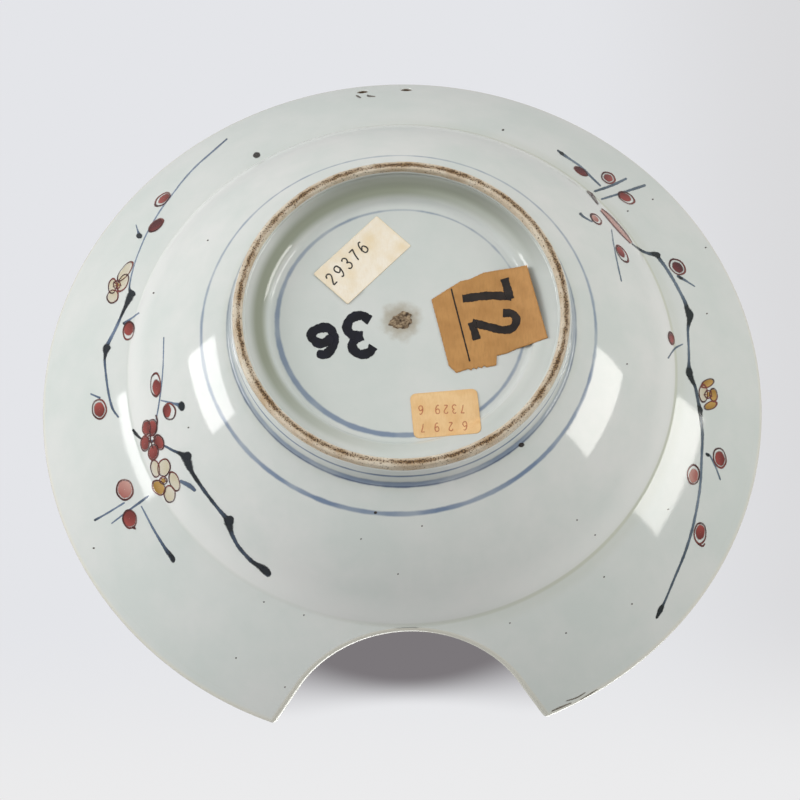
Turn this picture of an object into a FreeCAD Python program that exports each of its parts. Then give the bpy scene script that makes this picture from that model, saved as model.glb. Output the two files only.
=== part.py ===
import FreeCAD, Part
import math
import os

# Barber bowl of thrown porcelain: a deep well on a foot ring, a wide rising
# flange with a bite cut out of it for the neck, and two holes for a cord.
# Millimetres. +Z points up out of the mouth, the origin is the centre of the
# plane that the foot ring stands on, and the neck notch opens towards -Y.
# Radii and heights are those of the glazed surface unless they say otherwise.

# Flange and rim. The bend is how much steeper the flange is at the rim than at the crease
RIM_RADIUS = 137.5
LIP_CENTRE_HEIGHT = 80.0
FLANGE_THICKNESS = 4.0
FLANGE_BEND = 15.1

# Well wall, on its outer face. The bend is how much steeper it is at the crease than at the foot
CREASE_RADIUS = 102.3
CREASE_HEIGHT = 49.0
WALL_FOOT_SPREAD = 3.4
WALL_FOOT_HEIGHT = 12.0
WALL_BEND = 37.54
WALL_THICKNESS = 5.0
WALL_TO_FOOT_FILLET = 1.6

# Inside of the well
FLOOR_THICKNESS = 6.6
FLOOR_FILLET = 26.0
INNER_CORNER_FILLET = 5.0

# Foot ring and the recess inside it, both measured from the middle of the ring's flat rim
FOOT_RADIUS = 58.9
FOOT_FLAT_WIDTH = 1.6
FOOT_EDGE_RADIUS = 1.2
RECESS_SETBACK = 2.7
RECESS_DEPTH = 9.0
RECESS_FILLET = 2.2

# Glaze: how thick it lies, and where it stops above the bare foot ring
GLAZE_THICKNESS = 0.4
GLAZE_LINE_OUTSIDE = 3.0
GLAZE_LINE_INSIDE = 2.4

# Neck notch: an arc with two tangent flanks, cut square to the flange, just clear of the crease
NOTCH_APEX_MARGIN = 2.5
NOTCH_ARC_RADIUS = 47.0
NOTCH_ARC_HALF_ANGLE = 58.3
NOTCH_EDGE_FLAT = 0.8

# Hanging holes, pierced square to the flange, opposite the notch
HOLE_DIAMETER = 3.5
HOLE_RIM_MARGIN = 7.5
HOLE_SPACING_ANGLE = 7.6
HOLE_PAIR_TURN = -1.8
HOLE_BARE_MARGIN = 0.7

# Clay spur that held the base up in the kiln, broken off short
SPUR_RADIUS = 3.5
SPUR_UNEVENNESS = 0.5
SPUR_PROUD = 0.35

# Paper labels stuck on the base: where each one's middle lies, as a distance in from the recess
# wall and a bearing from +X towards +Y
PAPER_THICKNESS = 0.22
CREAM_LABEL_SIZE = (33.0, 17.6)
CREAM_LABEL_SETBACK = 27.87
CREAM_LABEL_BEARING = 61.1
CREAM_LABEL_TURN = -44.5
CREAM_LABEL_CORNER = 0.6
BUFF_LABEL_SIZE = (24.2, 17.4)
BUFF_LABEL_SETBACK = 16.37
BUFF_LABEL_BEARING = 247.9
BUFF_LABEL_TURN = -3.9
BUFF_LABEL_CORNER = 2.2
TORN_LABEL_SETBACK = 24.78
TORN_LABEL_BEARING = 182.2
TORN_LABEL_LONG_SIDE = ((-14.9, 22.4), (-21.3, -7.0))
TORN_LABEL_LOWER_TEAR = ((-17.0, -8.6), (-12.8, -10.2), (-10.0, -11.1), (-6.4, -12.8), (-2.6, -13.7))
TORN_LABEL_TOOTHED_EDGE = ((-2.3, -17.5), (12.1, -20.1))
TORN_LABEL_SHORT_SIDE = ((14.8, -17.2), (20.4, 9.3))
TORN_LABEL_UPPER_TEAR = ((13.7, 13.8), (9.5, 16.5), (6.2, 17.2), (1.1, 19.7), (-4.2, 20.6), (-10.1, 21.4))
TOOTH_COUNT = 4
TOOTH_PITCH = 1.9
TOOTH_DEPTH = 0.7


def rising_arc(start, end, bend):
    """Centre, radius, start and end slope of the arc between two points that steepens by a bend."""
    chord = math.atan2(end[1] - start[1], end[0] - start[0])
    length = math.hypot(end[0] - start[0], end[1] - start[1])
    radius = length / (2.0 * math.sin(bend / 2.0))
    slope = chord - bend / 2.0
    centre = (start[0] - radius * math.sin(slope), start[1] + radius * math.cos(slope))
    return centre, radius, slope, slope + bend


def flange_arc(crease, rim, thickness, bend):
    """The flange's middle line: a rising arc that starts half a thickness above the lower crease."""
    slope = 0.0
    for _ in range(FLANGE_ROUNDS):
        foot = (
            crease[0] - thickness / 2.0 * math.sin(slope),
            crease[1] + thickness / 2.0 * math.cos(slope),
        )
        centre, radius, slope, end_slope = rising_arc(foot, rim, bend)
    return centre, radius, slope, end_slope


WALL_FOOT_RADIUS = FOOT_RADIUS + WALL_FOOT_SPREAD
WALL_CENTRE, WALL_RADIUS = rising_arc(
    (WALL_FOOT_RADIUS, WALL_FOOT_HEIGHT),
    (CREASE_RADIUS, CREASE_HEIGHT),
    math.radians(WALL_BEND),
)[:2]
LIP_RADIUS = FLANGE_THICKNESS / 2.0
FLANGE_ROUNDS = 20
FLANGE_CENTRE, FLANGE_RADIUS, FLANGE_START, FLANGE_END = flange_arc(
    (CREASE_RADIUS, CREASE_HEIGHT),
    (RIM_RADIUS - LIP_RADIUS, LIP_CENTRE_HEIGHT),
    FLANGE_THICKNESS,
    math.radians(FLANGE_BEND),
)
FLOOR_HEIGHT = RECESS_DEPTH + FLOOR_THICKNESS
RECESS_RADIUS = FOOT_RADIUS - RECESS_SETBACK
NOTCH_APEX_RADIUS = CREASE_RADIUS + NOTCH_APEX_MARGIN
NOTCH_EDGE_ROUND = (FLANGE_THICKNESS - NOTCH_EDGE_FLAT) / 2.0
HOLE_RING_RADIUS = RIM_RADIUS - HOLE_RIM_MARGIN


def polar(centre, radius, slope):
    """Point of a section arc where its tangent has the given slope."""
    return (centre[0] + radius * math.sin(slope), centre[1] - radius * math.cos(slope))


def height_on(centre, radius, r):
    """Height of the lower side of a section arc at distance r from the axis."""
    return centre[1] - math.sqrt(radius ** 2 - (r - centre[0]) ** 2)


def slope_on(centre, radius, r):
    """Slope of the lower side of a section arc at distance r from the axis."""
    return math.asin((r - centre[0]) / radius)


def meeting(centre_a, radius_a, centre_b, radius_b):
    """The crossing of two section arcs that lies further from the axis."""
    dr = centre_b[0] - centre_a[0]
    dz = centre_b[1] - centre_a[1]
    gap = math.hypot(dr, dz)
    along = (gap ** 2 + radius_a ** 2 - radius_b ** 2) / (2.0 * gap)
    across = math.sqrt(radius_a ** 2 - along ** 2)
    foot = (centre_a[0] + dr * along / gap, centre_a[1] + dz * along / gap)
    one = (foot[0] + dz * across / gap, foot[1] - dr * across / gap)
    two = (foot[0] - dz * across / gap, foot[1] + dr * across / gap)
    return max(one, two)


def section_point(point):
    """A section point (distance from axis, height) as a point of the XZ plane."""
    return FreeCAD.Vector(point[0], 0.0, point[1])


def line(start, end):
    return Part.LineSegment(section_point(start), section_point(end)).toShape()


def arc(start, end, centre, radius):
    """Section arc about a centre, the short way from start to end."""
    turn_start = math.atan2(start[1] - centre[1], start[0] - centre[0])
    turn_end = math.atan2(end[1] - centre[1], end[0] - centre[0])
    turn = turn_end - turn_start
    turn = math.atan2(math.sin(turn), math.cos(turn))
    middle = turn_start + turn / 2.0
    top = (centre[0] + radius * math.cos(middle), centre[1] + radius * math.sin(middle))
    return Part.Arc(section_point(start), section_point(top), section_point(end)).toShape()


def bowl_section(inset):
    """Closed half section of the bowl, drawn this far inside the glazed surface."""
    edge = FOOT_EDGE_RADIUS - inset
    crest_out = FOOT_RADIUS + FOOT_FLAT_WIDTH / 2.0
    crest_in = FOOT_RADIUS - FOOT_FLAT_WIDTH / 2.0
    outer_wall = WALL_RADIUS - inset
    inner_wall = WALL_RADIUS - WALL_THICKNESS + inset
    outer_flange = FLANGE_RADIUS + LIP_RADIUS - inset
    inner_flange = FLANGE_RADIUS - LIP_RADIUS + inset
    floor = FLOOR_HEIGHT - inset
    ceiling = RECESS_DEPTH + inset

    side_low = (crest_out + edge, edge)
    side_top_radius = WALL_FOOT_RADIUS - inset
    side_top = (side_top_radius, height_on(WALL_CENTRE, outer_wall, side_top_radius))
    crease = meeting(WALL_CENTRE, outer_wall, FLANGE_CENTRE, outer_flange)
    lip_under = polar(FLANGE_CENTRE, outer_flange, FLANGE_END)
    lip_centre = polar(FLANGE_CENTRE, FLANGE_RADIUS, FLANGE_END)
    lip_outer = (
        lip_centre[0] + (LIP_RADIUS - inset) * math.cos(FLANGE_END),
        lip_centre[1] + (LIP_RADIUS - inset) * math.sin(FLANGE_END),
    )
    lip_over = polar(FLANGE_CENTRE, inner_flange, FLANGE_END)
    inner_corner = meeting(WALL_CENTRE, inner_wall, FLANGE_CENTRE, inner_flange)
    floor_drop = WALL_CENTRE[1] - floor
    floor_edge = (WALL_CENTRE[0] + math.sqrt(inner_wall ** 2 - floor_drop ** 2), floor)
    recess_corner = (RECESS_RADIUS + inset, ceiling)
    side_in = (crest_in - edge, edge)

    edges = [
        line((crest_in, 0.0), (crest_out, 0.0)),
        arc((crest_out, 0.0), side_low, (crest_out, edge), edge),
        line(side_low, side_top),
        arc(side_top, crease, WALL_CENTRE, outer_wall),
        arc(crease, lip_under, FLANGE_CENTRE, outer_flange),
        Part.Arc(
            section_point(lip_under), section_point(lip_outer), section_point(lip_over)
        ).toShape(),
        arc(lip_over, inner_corner, FLANGE_CENTRE, inner_flange),
        arc(inner_corner, floor_edge, WALL_CENTRE, inner_wall),
        line(floor_edge, (0.0, floor)),
        line((0.0, floor), (0.0, ceiling)),
        line((0.0, ceiling), recess_corner),
        line(recess_corner, side_in),
        arc(side_in, (crest_in, 0.0), (crest_in, edge), edge),
    ]
    corners = {
        "side_top": side_top,
        "inner_corner": inner_corner,
        "floor_edge": floor_edge,
        "recess_corner": recess_corner,
    }
    return edges, corners


def ring_edges(solid, corner):
    """The circular edges of a turned solid that pass through a section point."""
    found = []
    for candidate in solid.Edges:
        if not isinstance(candidate.Curve, Part.Circle):
            continue
        circle = candidate.Curve
        same_radius = abs(circle.Radius - corner[0]) < 0.01
        same_height = abs(circle.Center.z - corner[1]) < 0.01
        if same_radius and same_height:
            found.append(candidate)
    return found


def lone_solid(shape):
    """The one solid of a cut or a fillet."""
    solids = shape.Solids
    if len(solids) != 1:
        raise ValueError("expected one solid, found %d" % len(solids))
    return solids[0]


def turned_bowl(inset):
    """The whole bowl as it leaves the wheel, before the notch and the holes."""
    edges, corners = bowl_section(inset)
    face = Part.Face(Part.Wire(edges))
    solid = face.revolve(FreeCAD.Vector(0, 0, 0), FreeCAD.Vector(0, 0, 1), 360)
    rounds = [
        ("side_top", WALL_TO_FOOT_FILLET + inset),
        ("inner_corner", INNER_CORNER_FILLET - inset),
        ("floor_edge", FLOOR_FILLET + inset),
        ("recess_corner", RECESS_FILLET + inset),
    ]
    for name, radius in rounds:
        solid = lone_solid(solid.makeFillet(radius, ring_edges(solid, corners[name])))
    return solid


def notch_cutter(inset):
    """Prism square to the flange whose outline is the notch, widened by the inset."""
    lean = (FLANGE_START + FLANGE_END) / 2.0
    outer_flange = FLANGE_RADIUS + LIP_RADIUS
    apex_height = height_on(FLANGE_CENTRE, outer_flange, NOTCH_APEX_RADIUS)
    apex = FreeCAD.Vector(0.0, -NOTCH_APEX_RADIUS, apex_height)
    outward = FreeCAD.Vector(0.0, -math.cos(lean), math.sin(lean))
    across = FreeCAD.Vector(1.0, 0.0, 0.0)
    through = FreeCAD.Vector(0.0, math.sin(lean), math.cos(lean))
    centre = apex + outward * NOTCH_ARC_RADIUS
    radius = NOTCH_ARC_RADIUS + inset
    half = math.radians(NOTCH_ARC_HALF_ANGLE)
    reach = RIM_RADIUS - NOTCH_APEX_RADIUS + NOTCH_ARC_RADIUS

    def arc_point(turn):
        return centre + across * (radius * math.sin(turn)) - outward * (radius * math.cos(turn))

    left_end = arc_point(-half)
    right_end = arc_point(half)
    left_out = left_end - across * (reach * math.cos(half)) + outward * (reach * math.sin(half))
    right_out = right_end + across * (reach * math.cos(half)) + outward * (reach * math.sin(half))
    outline = Part.Wire(
        [
            Part.Arc(left_end, arc_point(0.0), right_end).toShape(),
            Part.LineSegment(right_end, right_out).toShape(),
            Part.LineSegment(right_out, left_out).toShape(),
            Part.LineSegment(left_out, left_end).toShape(),
        ]
    )
    outline.translate(through * (-reach / 2.0))
    return Part.Face(outline).extrude(through * reach)


def cut_bowl(inset):
    """The bowl with its neck notch cut and the cut edge rounded by hand."""
    turned = turned_bowl(inset)
    cutter = notch_cutter(inset)
    bowl = lone_solid(turned.cut(cutter))
    cut_face_edges = []
    for candidate in bowl.Edges:
        middle = candidate.valueAt((candidate.FirstParameter + candidate.LastParameter) / 2.0)
        on_cutter = cutter.isInside(middle, 0.01, True)
        runs_round = not isinstance(candidate.Curve, Part.Line)
        if on_cutter and runs_round:
            cut_face_edges.append(candidate)
    return lone_solid(bowl.makeFillet(NOTCH_EDGE_ROUND - inset, cut_face_edges))


def hole_cutters(diameter):
    """Pins square to the flange through both hanging holes."""
    slope = slope_on(FLANGE_CENTRE, FLANGE_RADIUS, HOLE_RING_RADIUS)
    height = height_on(FLANGE_CENTRE, FLANGE_RADIUS, HOLE_RING_RADIUS)
    length = 6.0 * FLANGE_THICKNESS
    pins = []
    for side in (-0.5, 0.5):
        turn = math.radians(90.0 + HOLE_PAIR_TURN + side * HOLE_SPACING_ANGLE)
        outward = FreeCAD.Vector(math.cos(turn), math.sin(turn), 0.0)
        middle = outward * HOLE_RING_RADIUS + FreeCAD.Vector(0, 0, height)
        axis = outward * (-math.sin(slope)) + FreeCAD.Vector(0, 0, math.cos(slope))
        pins.append(Part.makeCylinder(diameter / 2.0, length, middle - axis * (length / 2.0), axis))
    return pins


def spur_outline(height):
    """Uneven round outline of the broken spur, at a given height."""
    points = []
    count = 10
    for step in range(count):
        turn = 2.0 * math.pi * step / count
        radius = SPUR_RADIUS + SPUR_UNEVENNESS * math.sin(3.0 * turn + 0.6) * math.cos(turn)
        points.append(FreeCAD.Vector(radius * math.cos(turn), radius * math.sin(turn), height))
    curve = Part.BSplineCurve()
    curve.interpolate(points, PeriodicFlag=True)
    return Part.Wire([curve.toShape()])


def porcelain_body(fired):
    """The fired clay: one thrown and cut piece, bare where it shows at the foot ring."""
    body = fired
    for pin in hole_cutters(HOLE_DIAMETER):
        body = lone_solid(body.cut(pin))
    return body


def glaze_shells(fired):
    """The glaze outside the foot ring, and the glaze inside it, both still whole."""
    shells = cut_bowl(0.0).cut(fired).Solids
    if len(shells) != 2:
        raise ValueError("the foot ring should part the glaze in two")
    shells.sort(key=lambda shell: shell.Volume)
    return shells[1], shells[0]


def glaze_coat(shell):
    """Clear celadon glaze over the outside, the rim, the notch edge and the well."""
    coat = shell.cut(Part.makeCylinder(RIM_RADIUS, GLAZE_LINE_OUTSIDE))
    for pin in hole_cutters(HOLE_DIAMETER + 2.0 * HOLE_BARE_MARGIN):
        coat = coat.cut(pin)
    return lone_solid(coat)


def base_glaze(shell):
    """The same glaze inside the foot ring, round the spur."""
    coat = shell.cut(Part.makeCylinder(RIM_RADIUS, GLAZE_LINE_INSIDE))
    spur = Part.Face(spur_outline(0.0)).extrude(FreeCAD.Vector(0, 0, FLOOR_HEIGHT))
    return lone_solid(coat.cut(spur))


def spur_stub():
    """The stub of the clay spur, fired to the middle of the base."""
    base = RECESS_DEPTH + GLAZE_THICKNESS
    height = GLAZE_THICKNESS + SPUR_PROUD
    stub = Part.Face(spur_outline(base - height)).extrude(FreeCAD.Vector(0, 0, height))
    return stub


def stuck_down(outline, setback, bearing, turn):
    """A paper cut to an outline about its middle, pressed onto the glazed base."""
    reach = RECESS_RADIUS - setback
    x = reach * math.cos(math.radians(bearing))
    y = reach * math.sin(math.radians(bearing))
    paper = Part.Face(outline).extrude(FreeCAD.Vector(0, 0, PAPER_THICKNESS))
    paper.rotate(FreeCAD.Vector(0, 0, 0), FreeCAD.Vector(0, 0, 1), turn)
    paper.translate(FreeCAD.Vector(x, y, RECESS_DEPTH - PAPER_THICKNESS))
    return paper


def rounded_outline(size, corner):
    """Rectangle about the origin with rounded corners."""
    half_x = size[0] / 2.0
    half_y = size[1] / 2.0
    edges = []
    for quarter in range(4):
        turn = math.pi / 2.0 * quarter
        sign_x = 1.0 if quarter in (0, 3) else -1.0
        sign_y = 1.0 if quarter in (0, 1) else -1.0
        centre = FreeCAD.Vector(sign_x * (half_x - corner), sign_y * (half_y - corner), 0.0)
        stops = []
        for part in (0.0, 0.5, 1.0):
            angle = turn + part * math.pi / 2.0
            stops.append(centre + FreeCAD.Vector(math.cos(angle), math.sin(angle), 0.0) * corner)
        if edges:
            edges.append(Part.LineSegment(edges[-1].Vertexes[-1].Point, stops[0]).toShape())
        edges.append(Part.Arc(stops[0], stops[1], stops[2]).toShape())
    edges.append(Part.LineSegment(edges[-1].Vertexes[-1].Point, edges[0].Vertexes[0].Point).toShape())
    return Part.Wire(edges)


def torn_outline():
    """Card torn off a bigger one: two cut sides, two torn sides and a short toothed edge."""
    tooth_start, tooth_end = TORN_LABEL_TOOTHED_EDGE
    run = (tooth_end[0] - tooth_start[0], tooth_end[1] - tooth_start[1])
    length = math.hypot(run[0], run[1])
    along = (run[0] / length, run[1] / length)
    inward = (-along[1], along[0])
    first_tooth = (length - TOOTH_COUNT * TOOTH_PITCH) / 2.0
    points = list(TORN_LABEL_LONG_SIDE + TORN_LABEL_LOWER_TEAR)
    points.append(tooth_start)
    for tooth in range(TOOTH_COUNT):
        for step, depth in ((0.0, 0.0), (0.5, TOOTH_DEPTH)):
            reach = first_tooth + (tooth + step) * TOOTH_PITCH
            x = tooth_start[0] + along[0] * reach + inward[0] * depth
            y = tooth_start[1] + along[1] * reach + inward[1] * depth
            points.append((x, y))
    points.append(tooth_end)
    points.extend(TORN_LABEL_SHORT_SIDE + TORN_LABEL_UPPER_TEAR)
    vertices = [FreeCAD.Vector(x, y, 0.0) for x, y in points]
    return Part.makePolygon(vertices + vertices[:1])


def main():
    os.makedirs("parts", exist_ok=True)
    fired = cut_bowl(GLAZE_THICKNESS)
    outside_glaze, inside_glaze = glaze_shells(fired)
    nodes = {
        "porcelain_body": porcelain_body(fired),
        "glaze_coat": glaze_coat(outside_glaze),
        "base_glaze": base_glaze(inside_glaze),
        "spur_stub": spur_stub(),
        "cream_label": stuck_down(
            rounded_outline(CREAM_LABEL_SIZE, CREAM_LABEL_CORNER),
            CREAM_LABEL_SETBACK,
            CREAM_LABEL_BEARING,
            CREAM_LABEL_TURN,
        ),
        "torn_label": stuck_down(torn_outline(), TORN_LABEL_SETBACK, TORN_LABEL_BEARING, 0.0),
        "buff_label": stuck_down(
            rounded_outline(BUFF_LABEL_SIZE, BUFF_LABEL_CORNER),
            BUFF_LABEL_SETBACK,
            BUFF_LABEL_BEARING,
            BUFF_LABEL_TURN,
        ),
    }
    for name, shape in nodes.items():
        shape.exportStep(os.path.join("parts", name + ".step"))
        box = shape.BoundBox
        print(
            name,
            shape.ShapeType,
            "solids", len(shape.Solids),
            "valid", shape.isValid(),
            "volume %.1f" % shape.Volume,
            "x %.2f %.2f y %.2f %.2f z %.2f %.2f"
            % (box.XMin, box.XMax, box.YMin, box.YMax, box.ZMin, box.ZMax),
        )


main()
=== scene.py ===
import math

import bpy
import numpy as np
from mathutils import Matrix, Vector


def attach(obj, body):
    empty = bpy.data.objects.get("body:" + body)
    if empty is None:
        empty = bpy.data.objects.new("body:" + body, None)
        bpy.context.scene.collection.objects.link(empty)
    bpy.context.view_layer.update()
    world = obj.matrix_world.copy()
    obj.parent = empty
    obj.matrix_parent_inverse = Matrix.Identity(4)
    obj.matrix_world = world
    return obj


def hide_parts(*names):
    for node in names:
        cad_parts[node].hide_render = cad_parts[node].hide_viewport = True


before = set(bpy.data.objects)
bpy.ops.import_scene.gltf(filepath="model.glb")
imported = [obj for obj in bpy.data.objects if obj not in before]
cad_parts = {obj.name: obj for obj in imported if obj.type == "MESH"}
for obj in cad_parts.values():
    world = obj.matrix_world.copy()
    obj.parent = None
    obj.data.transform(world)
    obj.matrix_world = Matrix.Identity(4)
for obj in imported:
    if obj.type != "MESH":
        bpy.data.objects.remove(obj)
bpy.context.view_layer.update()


# The fired body: thrown porcelain, the one piece that carries everything else. It shows only where the
# glaze was wiped off, at the foot ring and in the mouths of the two hanging holes. At the foot kiln
# sand and iron have stained it tan and dark brown; higher up, in the holes, it is coloured dark brown.
MM = 0.001
GRIT_BAND = {"middle": 58.9, "centre": (-0.4, 0.0), "near": 0.2, "far": 1.15, "wander": 1.6}
GRIT_SIZES = {"grain": 0.55, "clump": 2.6, "patch": 9.0, "depth": 0.15}
HOLE_LEVELS = (30.0, 40.0)
GRIT_COLOURS = {
    "clay": "#D6CBB8",
    "tan": "#B39876",
    "rust": "#8A6D47",
    "soot": "#4A3625",
    "hole": "#54412F",
}


def colour(code):
    """Linear red, green, blue and alpha from an sRGB hex code."""
    parts = [int(code[k:k + 2], 16) / 255 for k in (1, 3, 5)]
    return [c / 12.92 if c < 0.04045 else ((c + 0.055) / 1.055) ** 2.4 for c in parts] + [1]


def add(tree, kind, inputs=(), out=0, **settings):
    """Add one shader node, set or link its inputs, and give back one of its outputs."""
    node = tree.nodes.new(kind)
    for key, value in settings.items():
        setattr(node, key, value)
    for key, value in dict(inputs).items():
        if isinstance(value, bpy.types.NodeSocket):
            tree.links.new(value, node.inputs[key])
        else:
            node.inputs[key].default_value = value
    return node.outputs[out] if len(node.outputs) else node


def new_material(name):
    """An empty node material and its tree."""
    material = bpy.data.materials.new(name)
    material.use_nodes = True
    material.node_tree.nodes.clear()
    return material, material.node_tree


def ring_distance(tree, place, radius, centre=(0, 0), drift=0.0):
    """Millimetres between a surface point and a ring about an upright axis, once it has drifted."""
    middle = (centre[0] * MM, centre[1] * MM, 0)
    away = add(tree, "ShaderNodeVectorMath", {0: place, 1: middle}, operation="SUBTRACT")
    flat = add(tree, "ShaderNodeVectorMath", {0: away, 1: (1, 1, 0)}, operation="MULTIPLY")
    reach = add(tree, "ShaderNodeVectorMath", {0: flat}, "Value", operation="LENGTH")
    off = add(tree, "ShaderNodeMath", {0: reach, 1: 1 / MM, 2: -radius}, operation="MULTIPLY_ADD")
    off = add(tree, "ShaderNodeMath", {0: off, 1: drift}, operation="ADD")
    return add(tree, "ShaderNodeMath", {0: off}, operation="ABSOLUTE")


def biscuit_material():
    """Unglazed porcelain: dull pale clay, with a frayed line of kiln grit along the crest."""
    material, tree = new_material("unglazed_porcelain")
    place = add(tree, "ShaderNodeTexCoord", out="Object")
    grit, clump, patch = (
        add(tree, "ShaderNodeTexNoise", {0: place, "Scale": 1 / (GRIT_SIZES[key] * MM), "Detail": 3.0})
        for key in ("grain", "clump", "patch")
    )
    wander = GRIT_BAND["wander"]
    stray = {0: clump, 1: wander, 2: -wander / 2}
    drift = add(tree, "ShaderNodeMath", stray, operation="MULTIPLY_ADD")
    away = ring_distance(tree, place, GRIT_BAND["middle"], GRIT_BAND["centre"], drift)
    ends = {"From Min": GRIT_BAND["near"], "From Max": GRIT_BAND["far"], "To Min": 1.0, "To Max": 0.0}
    near = add(tree, "ShaderNodeMapRange", {"Value": away, **ends}, interpolation_type="SMOOTHSTEP")
    ends = {"From Min": 0.35, "From Max": 0.6, "To Min": 0.5, "To Max": 1.0}
    load = add(tree, "ShaderNodeMapRange", {"Value": patch, **ends})
    strength = add(tree, "ShaderNodeMath", {0: near, 1: load}, operation="MULTIPLY")
    crowd = {0: strength, 1: 0.17, 2: grit}
    raised = add(tree, "ShaderNodeMath", crowd, operation="MULTIPLY_ADD")
    height = add(tree, "ShaderNodeSeparateXYZ", {0: place}, "Z")
    layers = (
        ("tan", patch, (0.38, 0.75), 0.9),
        ("rust", strength, (0.0, 1.0), 1.0),
        ("soot", raised, (0.6, 0.68), 1.0),
        ("hole", height, (HOLE_LEVELS[0] * MM, HOLE_LEVELS[1] * MM), 0.9),
    )
    ground = colour(GRIT_COLOURS["clay"])
    for key, cause, (first, last), most in layers:
        ends = {"From Min": first, "From Max": last, "To Max": most}
        share = add(tree, "ShaderNodeMapRange", {"Value": cause, **ends})
        coat = colour(GRIT_COLOURS[key])
        ground = add(tree, "ShaderNodeMix", {0: share, 6: ground, 7: coat}, 2, data_type="RGBA")
    depth = GRIT_SIZES["depth"] * MM
    bump = add(tree, "ShaderNodeBump", {"Strength": 0.8, "Distance": depth, "Height": grit})
    looks = {"Base Color": ground, "Roughness": 0.75, "IOR": 1.5, "Normal": bump}
    shader = add(tree, "ShaderNodeBsdfPrincipled", looks)
    add(tree, "ShaderNodeOutputMaterial", {"Surface": shader})
    return material


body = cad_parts["porcelain_body"]
bare_clay = biscuit_material()
if not body.material_slots:
    body.data.materials.append(bare_clay)
for material_slot in body.material_slots:
    material_slot.material = bare_clay


# The glaze over the outside, the rim and the well: one glassy, faintly green-grey coat that
# stops in a soft wavy line above the foot ring. It was poured and dipped, so it is a little
# uneven, pools olive in the crease and thins to cream where it runs over the lip.
BOWL = {
    "rim": 137.5,
    "lip_height": 80.0,
    "flange": 4.0,
    "flange_bend": 15.1,
    "crease": 102.3,
    "crease_height": 49.0,
    "wall": 5.0,
    "wall_bend": 37.54,
    "root": 62.3,
    "root_height": 12.0,
    "foot_side": 60.9,
    "foot_edge": 1.2,
    "floor": 15.6,
    "notch_margin": 2.5,
    "notch_radius": 47.0,
    "notch_half": 58.3,
    "hole_ring": 130.0,
    "hole_turns": (84.4, 92.0),
}
CORNER_LEGS = {"root": 0.9, "crease": 0.9, "ridge": 1.27, "floor": 5.1}
GLAZE_LINE = 3.0
GLAZE_DEPTH = 0.4
BARE_HOLE = 2.45
LIP = BOWL["flange"] / 2
NOTCH_COLUMNS = 45
FAN_COLUMNS = 6
RIM_COLUMNS = 330


def rising_arc(start, end, bend):
    """Arc between two section points whose slope grows by bend: centre, radius, both slopes."""
    chord = math.atan2(end[1] - start[1], end[0] - start[0])
    radius = math.dist(start, end) / (2 * math.sin(bend / 2))
    slope = chord - bend / 2
    centre = (start[0] - radius * math.sin(slope), start[1] + radius * math.cos(slope))
    return centre, radius, slope, slope + bend


def flange_arc():
    """Middle line of the flange, which starts half a thickness above the lower crease."""
    slope = 0.0
    for _ in range(20):
        foot = (
            BOWL["crease"] - LIP * math.sin(slope),
            BOWL["crease_height"] + LIP * math.cos(slope),
        )
        lip = (BOWL["rim"] - LIP, BOWL["lip_height"])
        centre, radius, slope, end = rising_arc(foot, lip, math.radians(BOWL["flange_bend"]))
    return centre, radius, slope, end


WALL_C, WALL_R, WALL_LOW, WALL_HIGH = rising_arc(
    (BOWL["root"], BOWL["root_height"]),
    (BOWL["crease"], BOWL["crease_height"]),
    math.radians(BOWL["wall_bend"]),
)
FLANGE_C, FLANGE_R, FLANGE_LOW, FLANGE_HIGH = flange_arc()
INNER_WALL_R = WALL_R - BOWL["wall"]


def on_arc(centre, radius, slope):
    """Points of a section arc at the given tangent slopes, as rows of distance and height."""
    slope = np.asarray(slope, float)
    return np.stack([centre[0] + radius * np.sin(slope), centre[1] - radius * np.cos(slope)], -1)


def softened(start, corner, end, count):
    """Quadratic curve that leaves start and reaches end along the two legs of a corner."""
    t = np.linspace(0, 1, count)[:, None]
    start, corner, end = map(np.array, (start, corner, end))
    return start * (1 - t) ** 2 + corner * 2 * t * (1 - t) + end * t ** 2


def notch_outline(count):
    """Middle line of the lip round the notch, from its left tip to its right one.

    In the plane square to the cut it is an arc with tangent flanks, set back from the cut by
    half the flange's thickness. Each point then slides along the cut onto the flange's middle
    surface, and the flanks end where they reach the lip circle of the rim.
    """
    lean = (FLANGE_LOW + FLANGE_HIGH) / 2
    apex_r = BOWL["crease"] + BOWL["notch_margin"]
    apex_z = FLANGE_C[1] - math.sqrt((FLANGE_R + LIP) ** 2 - (apex_r - FLANGE_C[0]) ** 2)
    radius = BOWL["notch_radius"] + LIP
    half = math.radians(BOWL["notch_half"])
    reach = np.linspace(0, radius * half + 40, 4000)
    turn = np.minimum(reach / radius, half)
    beyond = np.maximum(reach - radius * half, 0)
    x = radius * np.sin(turn) + beyond * math.cos(half)
    out = BOWL["notch_radius"] - radius * np.cos(turn) + beyond * math.sin(half)
    points = np.stack([x, -apex_r - out * math.cos(lean), apex_z + out * math.sin(lean)], -1)
    through = np.array([0, math.sin(lean), math.cos(lean)])
    for _ in range(12):
        r = np.hypot(points[:, 0], points[:, 1])
        middle = FLANGE_C[1] - np.sqrt(FLANGE_R ** 2 - (r - FLANGE_C[0]) ** 2)
        points = points + ((middle - points[:, 2]) * math.cos(lean))[:, None] * through
    r = np.hypot(points[:, 0], points[:, 1])
    end = np.interp(BOWL["rim"] - LIP, r, reach)
    stops = np.linspace(0, end, count)
    half_line = np.stack([np.interp(stops, reach, points[:, k]) for k in range(3)], -1)
    return np.concatenate([half_line[:0:-1] * (-1, 1, 1), half_line])


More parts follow.
